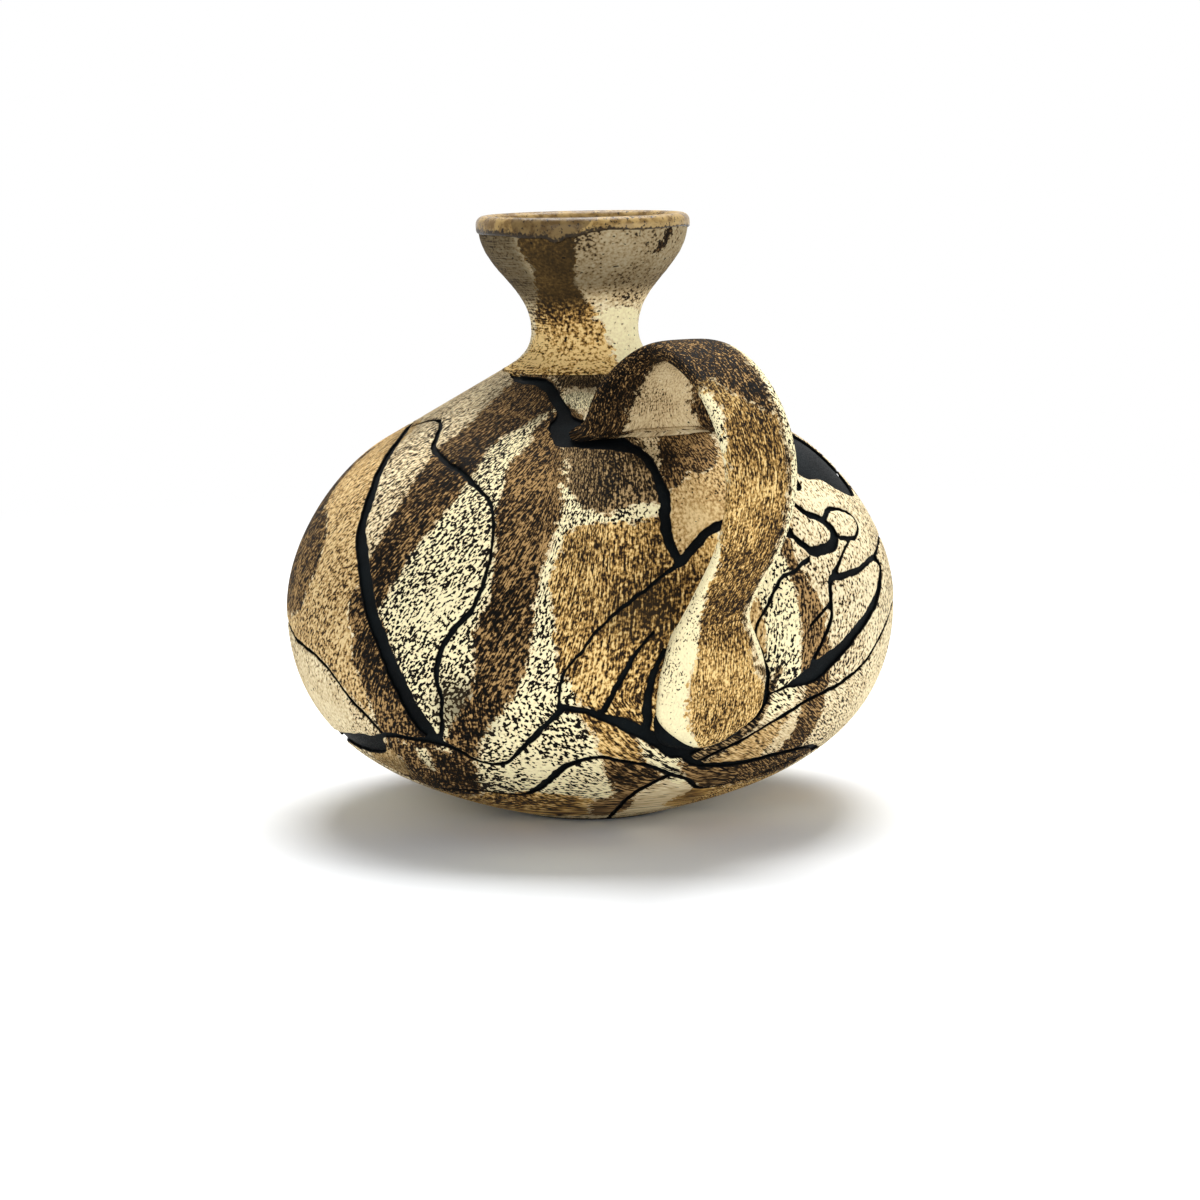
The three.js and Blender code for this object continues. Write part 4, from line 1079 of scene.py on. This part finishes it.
def glazed_lip_finish():
    """The glaze over the marbled lip: cloudy, dark where it pooled and thin at the right."""
    clay, tree, shader, place = clay_finish("Glaze over the lip", 0.3, Specular_IOR_Level=0.15)
    golden, run, thin = (field(tree, kind) for kind in ("golden", "run", "thin"))
    clouds = grain(tree, place, 0.22, 3.0)
    specks = grain(tree, place, 0.8, 2.0)
    tone = blend(tree, ramp(tree, clouds, 0.4, 0.6), (0.17, 0.10, 0.03), (0.36, 0.24, 0.088))
    tone = blend(tree, thin, tone, (0.46, 0.32, 0.135))
    tone = blend(tree, ramp(tree, golden, -0.3, 0.3, 0.0, 0.62), tone, (0.05, 0.028, 0.01))
    pooled = ramp(tree, weigh(tree, run, (specks, 6.0)), 1.1, 2.6, 0.95, 0.0)
    tone = blend(tree, pooled, tone, (0.018, 0.011, 0.005))
    tone = blend(tree, ramp(tree, specks, 0.35, 0.39, 0.9, 0.0), tone, (0.012, 0.008, 0.004))
    tree.links.new(tone, shader.inputs["Base Color"])
    tree.links.new(ramp(tree, clouds, 0.35, 0.65, 0.22, 0.42), shader.inputs["Roughness"])
    bumped(tree, shader, clouds, 0.5, 0.6)
    return clay


def over_lip(offset, edge_offset):
    """The glaze's outline from its lower edge outside, over the lip and down the inside of the neck."""
    percent = np.linspace(lap_percent, 100, 25)
    share = np.clip((percent - lap_percent) / (100 - lap_percent) * glaze_lap / edge_taper, 0, 1)
    thicker = edge_offset + (offset - edge_offset) * np.sqrt(share * (2 - share))
    outside = line_point(neck_line, percent, thicker)
    return np.vstack([outside, lip(offset), neck_coat(-neck_wall - offset)[::-1]])


mouth_outline = np.vstack([over_lip(seam_gap + glaze_thickness, seam_gap + edge_thickness),
                           over_lip(seam_gap, seam_gap)[::-1]])
mouth_glaze = thrown("mouth_glaze_coat", [*mouth_outline, mouth_outline[0]], glazed_lip_finish(),
                     facets=256)


def let_run(mesh):
    """Draws the glaze's lower edge up or down to its uneven line, and stores the distance from it."""
    points = np.array([corner.co for corner in mesh.vertices]) / mm
    azimuth = np.degrees(np.arctan2(points[:, 0], -points[:, 1]))
    radius = np.hypot(points[:, 0], points[:, 1])
    neck_radius = read_off(neck_line[:, ::-1], points[:, 2])
    outside = (radius > neck_radius) & (points[:, 2] < lip_height)
    lowest = read_off(glaze_edge, azimuth)
    height = lip_height - (lip_height - points[:, 2]) * (lip_height - lowest) / glaze_lap
    height = np.where(outside, height, points[:, 2])
    scale = np.where(outside, (radius + read_off(neck_line[:, ::-1], height) - neck_radius) / radius, 1)
    points = np.stack([points[:, 0] * scale, points[:, 1] * scale, height], -1)
    mesh.vertices.foreach_set("co", (points * mm).astype(np.float32).ravel())
    thin = 0.6 * fade(azimuth, 8, 28) * fade(azimuth, 120, 100) * outside
    run = np.where(outside, (height - lowest) * (1 + 3 * thin), far_from_edge)
    give_fields(mesh, {"golden": neck_fields(mesh)["ochre"], "run": run, "thin": thin})


let_run(mouth_glaze.data)
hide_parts("mouth_glaze")
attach(mouth_glaze, "root")

# The handle is a flat strap pulled from marbled clay. It is pressed on to the shoulder and the belly over
# pads of black slip, and its ends are smeared out on to the skin.
handle_azimuth, pad_azimuth = 25, 21.5
handle_reach, handle_outer_height = 27, 140
crest_radius, crest_height = 88, 187
root_percent, pad_top_percent, pad_end_percent = 88, 51, 33.5
pad_rise, root_lean = 2, 1
strap_squareness = 0.65
strap_widths = [(0, 56), (1, 29), (1.6, 29), (2.7, 24), (3.4, 42), (3.6, 42), (4, 24)]
strap_thicknesses = [(0, 10), (1, 7.5), (2.5, 7.5), (3, 8), (4, 6)]
strap_turn = [(1.8, 0), (3, 1)]
stage_steps, strap_sides = 44, 56
root_depth, slip_top = 9, slip_thickness + 2 * seam_gap

# Where the strap's tip narrows to a round tongue, where its foot starts, and the fillets in mm that it is
# smeared out with at its root and its foot.
tongue_start, tongue_length, foot_stage = 3.72, 0.28, 2.5
root_fillet, foot_fillet, no_fillet, sink_depth = 7.0, 2.0, 0.01, 1.5


def eased(values, stage):
    """The value that a list of stages and values has at each stage, eased between them."""
    at, value = np.array(values, float).T
    low = np.clip(np.searchsorted(at, stage) - 1, 0, len(at) - 2)
    share = fade(stage, at[low], at[low + 1])
    return value[low] + (value[low + 1] - value[low]) * share * share * (3 - 2 * share)


def rounded_strap():
    """The strap's section: how far across and over its middle each corner lies, from -1 to 1."""
    turn = 2 * np.pi * (np.arange(strap_sides) + 0.5) / strap_sides
    return [np.sign(v) * np.abs(v) ** strap_squareness for v in (np.cos(turn), np.sin(turn))]


strap_section = np.array(rounded_strap())[:, None]


def strap_path():
    """Stages and the middle line of the strap, from under its root to the end of its pad."""
    root = belly_point(root_percent, -slip_thickness)
    crest = np.array([crest_radius, crest_height])
    outer = np.array([belly_radius + handle_reach, handle_outer_height])
    pad_top = belly_point(pad_top_percent, pad_rise)
    rise, drop = (crest[1] - root[1]) / 2, (outer[1] - pad_top[1]) / 2
    lying = np.linspace(0, 1, stage_steps + 1)
    sunk = np.linspace(root_depth, 1, root_depth)[:, None] * (0, -1)
    path = [
        root + sunk,
        bezier(root, root + (-root_lean, rise), crest - (rise, 0), crest, steps=stage_steps),
        bezier(crest, crest + (2 * rise, 0), outer + (0, drop), outer, steps=stage_steps)[1:],
        bezier(outer, outer - (0, drop), pad_top + (0, drop / 2), pad_top, steps=stage_steps)[1:],
        belly_point(pad_top_percent + (pad_end_percent - pad_top_percent) * lying,
                    pad_rise * (1 - lying))[1:],
    ]
    stage = np.concatenate([-np.linspace(0.1, 0.01, root_depth),
                            np.arange(4 * stage_steps + 1) / stage_steps])
    return stage, np.vstack(path)


def above_belly(points):
    """For each point its azimuth, its percentage and its height over the skin in mm."""
    azimuth = np.degrees(np.arctan2(points[:, 0], -points[:, 1]))
    radius = np.hypot(points[:, 0], points[:, 1])
    passed = line_run(belly_line)
    percent, height = np.empty(len(points)), np.empty(len(points))
    for k, place in enumerate(zip(radius, points[:, 2])):
        away = place - belly_line
        nearest = np.argmin((away ** 2).sum(1))
        percent[k] = 100 * passed[nearest] / passed[-1]
        slope = belly_line[min(nearest + 1, len(belly_line) - 1)] - belly_line[max(nearest - 1, 0)]
        slope /= np.linalg.norm(slope)
        height[k] = away[nearest] @ (slope[1], -slope[0])
    return azimuth, percent, height


# The strap's bands as closed outlines: the place round it, from -1 at the left edge over the outer face to
# 1 at the right edge and on over the inner face to 3, and the stage along it.
strap_bands = [
    ("ochre", [(-3, 1.2), (5, 1.2), (5, 4.2), (-3, 4.2)]),
    ("brown", [(-3, -0.3), (5, -0.3), (5, 1.25), (1, 1.45), (0.6, 1.66), (0.1, 1.6), (-0.5, 1.5),
               (-1, 1.35), (-3, 1.3)]),
    ("pale", [(-1.25, 1.48), (-0.97, 1.48), (-0.8, 1.6), (-0.9, 1.78), (-1.02, 1.95), (-1.25, 1.98)]),
    ("dark", [(0.74, 1.1), (0.64, 1.5), (0.65, 2), (0.7, 2.6), (0.74, 3), (0.8, 3.3), (1.2, 3.3),
              (1.2, 1.1)]),
    ("pale", [(0.82, 1.15), (0.72, 1.5), (0.73, 2), (0.77, 2.6), (0.8, 3), (0.88, 3.25), (1.35, 3.25),
              (1.35, 1.15)]),
    ("pale", [(-1.4, 2.2), (-0.97, 2.25), (-0.8, 2.6), (-0.5, 2.9), (-0.4, 3.1), (-0.48, 3.3), (-0.5, 3.5),
              (-0.42, 3.8), (-0.2, 4.2), (-1.4, 4.2)]),
    ("buff", [(1.6, -0.3), (1.5, 0.5), (1.35, 0.95), (1.7, 1.15), (2.3, 1.1), (2.5, 0.8), (2.45, 0.4),
              (2.4, -0.3)]),
]

# How the strap's clay changes along it: stage, how much darker, calmer and more combed.
strap_changes = [(0, 1, 0.3, 0.5), (0.9, 1.9, 0.1, 0.3), (1.4, 1.5, 0, 0.3), (1.8, 0.5, 0.3, 0.6),
                 (2.8, 0.6, 0.4, 0.9), (3.2, -0.2, 0.4, 1), (4, -0.6, 0.3, 1)]

# The loop's inner face: how much darker it is painted as shade, and how calm its clay is, also where brown.
inner_face, inner_painted_shade, inner_calm, inner_brown_calm = 1.2, 0.9, 0.9, 0.5
strip_deep, strip_calms = -0.8, [(2, 0.1), (2.4, 0.88)]

# Half the width that the bands are laid out on, and how far their edges wander, over what length, in mm.
# The clay's grain is finer on the strap than on the belly, and finest across it.
strap_half = 14.0
strap_wander, strap_wander_length = 0.8, 8
strap_grain = (1.7, 1.7, 1.3)


def sweep_strap(stage, azimuth, middle):
    """The strap's corners round its middle line, and how far each lies to its side and out from it."""
    along = np.gradient(middle, axis=0)
    side = np.stack([np.cos(np.radians(azimuth)), np.sin(np.radians(azimuth)), 0 * azimuth], -1)
    face = np.cross(along, side)
    face /= np.linalg.norm(face, axis=1)[:, None]
    tongue = np.sqrt(np.clip(1 - fade(stage - tongue_start, 0, tongue_length) ** 2, 0.02, 1))
    width = eased(strap_widths, stage) * tongue
    thickness = eased(strap_thicknesses, stage) * (0.35 + 0.65 * tongue)
    sideways, outwards = strap_section * np.stack([width, thickness])[..., None] / 2
    points = middle[:, None] + side[:, None] * sideways[..., None] + face[:, None] * outwards[..., None]
    return points.reshape(-1, 3), sideways.ravel(), outwards.ravel()


def smear(points, middles, stages):
    """The strap's corners with its ends spread out on the skin, and seated on the slip under them."""
    around, percent, height = above_belly(points)
    fillet = np.where(stages < 1, root_fillet, np.where(stages > foot_stage, foot_fillet, no_fillet))
    low = np.clip(1 - height / fillet, 0, 1)
    spread = fillet * (1 - np.sqrt(1 - low ** 2))
    normal = standing(around, belly_point(percent, 1.0) - belly_point(percent))
    out = points - middles
    out -= normal * (out * normal).sum(1)[:, None]
    out /= np.maximum(np.linalg.norm(out, axis=1), 1e-6)[:, None]
    points = points + out * np.where(height > -1, spread, 0)[:, None]
    around, percent, fresh_height = above_belly(points)
    sunk = fade(height, 0, -sink_depth)
    rest = seam_gap / 2 + (slip_top - seam_gap / 2) * sunk * sunk * (3 - 2 * sunk)
    seat = standing(around, belly_point(percent, rest))
    near_end = (stages < 1) | (stages > foot_stage)
    return np.where((near_end & (fresh_height < rest))[:, None], seat, points)


def strap_fields(stage, lengths, sideways, outwards):
    """The depth inside each clay at every corner of the strap, and how its clay changes along it."""
    stages, runs = np.repeat(stage, strap_sides), np.repeat(lengths, strap_sides)
    across, over = strap_section
    round_it = np.where(over > 0, across, np.where(across > 0, 2 - across, -2 - across))[0]
    round_it = np.tile(round_it, len(stage))
    nothing = np.zeros(len(stages))
    place = np.stack([round_it * strap_half, runs, nothing], -1)

    def laid_out(line):
        """The corners of an outline on the strap, with its skin laid out flat in mm."""
        run = np.interp(line[:, 1], stage, lengths)
        return np.stack([line[:, 0] * strap_half, run, 0 * run], -1)

    place = place + strap_wander * wandering(place, strap_wander_length, seed=6)
    up = np.interp(place[:, 1], lengths, stage)
    layers = []
    for clay, corners in strap_bands:
        turns = [place + (wrap * strap_half, 0, 0) for wrap in (0, 4, -4)]
        depths = [inside_depth(turned, turned[:, 0] / strap_half, up, corners, laid_out)
                  for turned in turns]
        layers.append((clay, np.max(depths, axis=0)))
    fields = painted(layers, len(place))
    deep, calm, comb = (eased([(row[0], row[k]) for row in strap_changes], stages) for k in (1, 2, 3))
    # The inner face, under the loop, is calm and painted dark as shade, and the pale strip grows calm on
    # its way down to the pad.
    inner = np.abs(round_it) > inner_face
    calm = np.where(inner, np.where(fields["brown"] > 0, inner_brown_calm, inner_calm), calm)
    deep = np.where(inner, inner_painted_shade, deep)
    bare = fields["pale"] > 0.3
    calm = np.where(bare, read_off(strip_calms, stages), calm)
    deep, comb = np.where(bare, strip_deep, deep), np.where(bare, 0, comb)
    lay = np.stack([sideways, outwards, runs], -1) * strap_grain
    fields.update(edge=nothing + far_from_edge, lay=lay, swept=lay, drag=nothing, deep=deep, calm=calm,
                  comb=comb)
    return fields


def strap_piece():
    """The strap, shaped and coloured, with a flat end under its root and one at its tip."""
    stage, path = strap_path()
    azimuth = handle_azimuth + (pad_azimuth - handle_azimuth) * eased(strap_turn, stage)
    middle = standing(azimuth, path)
    lengths = np.concatenate([[0], np.cumsum(np.linalg.norm(np.diff(middle, axis=0), axis=1))])
    points, sideways, outwards = sweep_strap(stage, azimuth, middle)
    points = smear(points, np.repeat(middle, strap_sides, axis=0), np.repeat(stage, strap_sides))
    fields = strap_fields(stage, lengths, sideways, outwards)
    number = np.arange(len(points)).reshape(len(stage), strap_sides)
    after = np.roll(number, -1, axis=1)
    faces = np.stack([number[:-1], after[:-1], after[1:], number[1:]], -1).reshape(-1, 4).tolist()
    for ring, flip in ((number[0], True), (number[-1], False)):
        centre = len(points)
        points = np.vstack([points, points[ring].mean(0)])
        fields = {name: np.concatenate([values, values[ring].mean(0, keepdims=True)])
                  for name, values in fields.items()}
        for here, there in zip(ring, np.roll(ring, -1)):
            faces.append([there, here, centre] if flip else [here, there, centre])
    return as_piece("strap_handle", points, faces, marbled_clay, fields)


strap = strap_piece()
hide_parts("handle_strap")
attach(strap, "root")

# Black slip, brushed on wet, glues the strap's two ends to the skin. Each pad of it is a little wider than
# the end that lies on it, so that it shows as a dark line round the strap.
pad_edge_share, pad_clearance = 0.08, 0.08


def slip_pad(name, outline, rings=8):
    """A low pad of slip on the skin inside an outline of azimuths and percentages."""
    line = smoothed(outline, closed=True, steps=8)
    centre = line.mean(0)
    shares = np.linspace(1, 0, rings + 1)[:-1]
    places = np.vstack([centre + share * (line - centre) for share in shares] + [centre])
    count = len(line)
    rise = np.repeat(fade(1 - shares, 0, pad_edge_share), count)
    top = seam_gap / 2 + (slip_thickness + seam_gap / 2) * np.append(rise, 1)
    upper = standing(places[:, 0], belly_point(places[:, 1], top))
    lower = standing(places[:, 0], belly_point(places[:, 1], pad_clearance))
    number = np.arange(rings * count).reshape(rings, count)
    after = np.roll(number, -1, axis=1)
    faces = np.stack([number[:-1], after[:-1], after[1:], number[1:]], -1).reshape(-1, 4)
    tip = np.stack([number[-1], after[-1], np.full(count, rings * count)], -1)
    whole = len(places)
    walls = np.stack([after[0], number[0], number[0] + whole, after[0] + whole], -1)
    everything = (faces.tolist() + tip.tolist() + (faces[:, ::-1] + whole).tolist()
                  + (tip[:, ::-1] + whole).tolist() + walls.tolist())
    return as_piece(name, np.vstack([upper, lower]), everything, black_clay, {})


root_outline = [(8, 90.6), (25, 91.6), (42, 90.6), (50, 88), (42, 85.4), (25, 84.4), (8, 85.4), (0, 88)]
root_slip = slip_pad("root_slip", root_outline)
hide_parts("handle_root_slip")
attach(root_slip, "root")

pad_outline = [(17, 51), (12.5, 42), (11.2, 38), (13.6, 34.2), (21, 32.8), (28, 34.5), (30.5, 39), (29, 44),
               (26, 51)]
pad_slip = slip_pad("pad_slip", pad_outline)
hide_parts("handle_pad_slip")
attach(pad_slip, "root")

# The room: a plain pale floor that runs out to the white of the backdrop, soft light from a ceiling panel
# above and behind the vase, a window at the front left and a pale wall on the right, and a camera that
# looks down a little on the vase.
floor_width, shadow_reach, white_reach = 30, 400, 1100
floor_colour, white = (0.91, 0.93, 0.95, 1), (1, 1, 1, 1)
room_light, lamp_aim_height = 0.3, 0.09

# The camera stands where the photograph was taken from. Its values are in mm and radians, next to three
# measures of the photograph in pixels: its width, how far its middle lies beside the vase's axis, and how
# far over that middle the horizon lies.
photo_pixels, shift_pixels, horizon_pixels = 1200, 9.8, 504
lens_length, film_width = 102, 36
target_height, camera_distance, camera_roll = 82.4, 1349.2, 0.02
camera_pitch = math.atan(horizon_pixels / (photo_pixels * lens_length / film_width))


def seen_white(tree):
    """1 for the camera and for mirror and glass rays, and 0 for the rays that light the vase."""
    rays = add(tree, "ShaderNodeLightPath").outputs
    return reckon(tree, "MAXIMUM", reckon(tree, "MAXIMUM", rays["Is Camera Ray"], rays["Is Glossy Ray"]),
                  rays["Is Transmission Ray"])


def floor_finish():
    """White, with the vase's shadow near it, running out to the plain white of the backdrop."""
    paint = bpy.data.materials.new("Pale floor")
    paint.use_nodes = True
    tree = paint.node_tree
    tree.nodes.clear()
    where = add(tree, "ShaderNodeTexCoord").outputs["Object"]
    away = add(tree, "ShaderNodeVectorMath", (0, where), operation="LENGTH").outputs["Value"]
    share = reckon(tree, "MULTIPLY", ramp(tree, away, shadow_reach * mm, white_reach * mm),
                   seen_white(tree))
    matt = add(tree, "ShaderNodeBsdfDiffuse", ("Color", floor_colour)).outputs[0]
    glow = add(tree, "ShaderNodeEmission", ("Color", white), ("Strength", 1.0)).outputs[0]
    surface = add(tree, "ShaderNodeMixShader", (0, share), (1, matt), (2, glow)).outputs[0]
    add(tree, "ShaderNodeOutputMaterial", ("Surface", surface))
    return paint


floor_mesh = bpy.data.meshes.new("floor")
half = floor_width / 2
floor_mesh.from_pydata([(-half, -half, 0), (half, -half, 0), (half, half, 0), (-half, half, 0)], [],
                       [(0, 1, 2, 3)])
floor_mesh.materials.append(floor_finish())
floor = bpy.data.objects.new("floor", floor_mesh)
bpy.context.collection.objects.link(floor)

world = bpy.data.worlds.new("White room")
bpy.context.scene.world = world
world.use_nodes = True
sky = world.node_tree
sky.nodes.clear()
sky_strength = reckon(sky, "MULTIPLY_ADD", seen_white(sky), 1 - room_light, room_light)
background = add(sky, "ShaderNodeBackground", ("Color", white), ("Strength", sky_strength))
add(sky, "ShaderNodeOutputWorld", ("Surface", background.outputs[0]))


def soft_light(name, place, power, size):
    """A square lamp that looks at the middle of the vase."""
    lamp = bpy.data.lights.new(name, "AREA")
    lamp.energy, lamp.size = power, size
    holder = bpy.data.objects.new(name, lamp)
    holder.location = place
    aim = Vector((0, 0, lamp_aim_height)) - Vector(place)
    holder.rotation_euler = aim.to_track_quat("-Z", "Y").to_euler()
    bpy.context.collection.objects.link(holder)


soft_light("ceiling", (0.08, 0.5, 1.5), 40, 1.15)
soft_light("window", (-0.6, -1.8, 0.5), 15, 1.3)
soft_light("far wall", (1.5, -1.0, 0.35), 13, 1.2)

camera_data = bpy.data.cameras.new("camera")
camera_data.lens = lens_length
camera_data.shift_x = shift_pixels / photo_pixels
camera = bpy.data.objects.new("camera", camera_data)
camera.location = (0, -camera_distance * math.cos(camera_pitch) * mm,
                   (target_height + camera_distance * math.sin(camera_pitch)) * mm)
camera.rotation_mode = "XYZ"
camera.rotation_euler = (math.pi / 2 - camera_pitch, 0, 0)
camera.rotation_euler.rotate_axis("Z", -camera_roll)
bpy.context.collection.objects.link(camera)
bpy.context.scene.camera = camera
bpy.context.scene.view_settings.view_transform = "Standard"
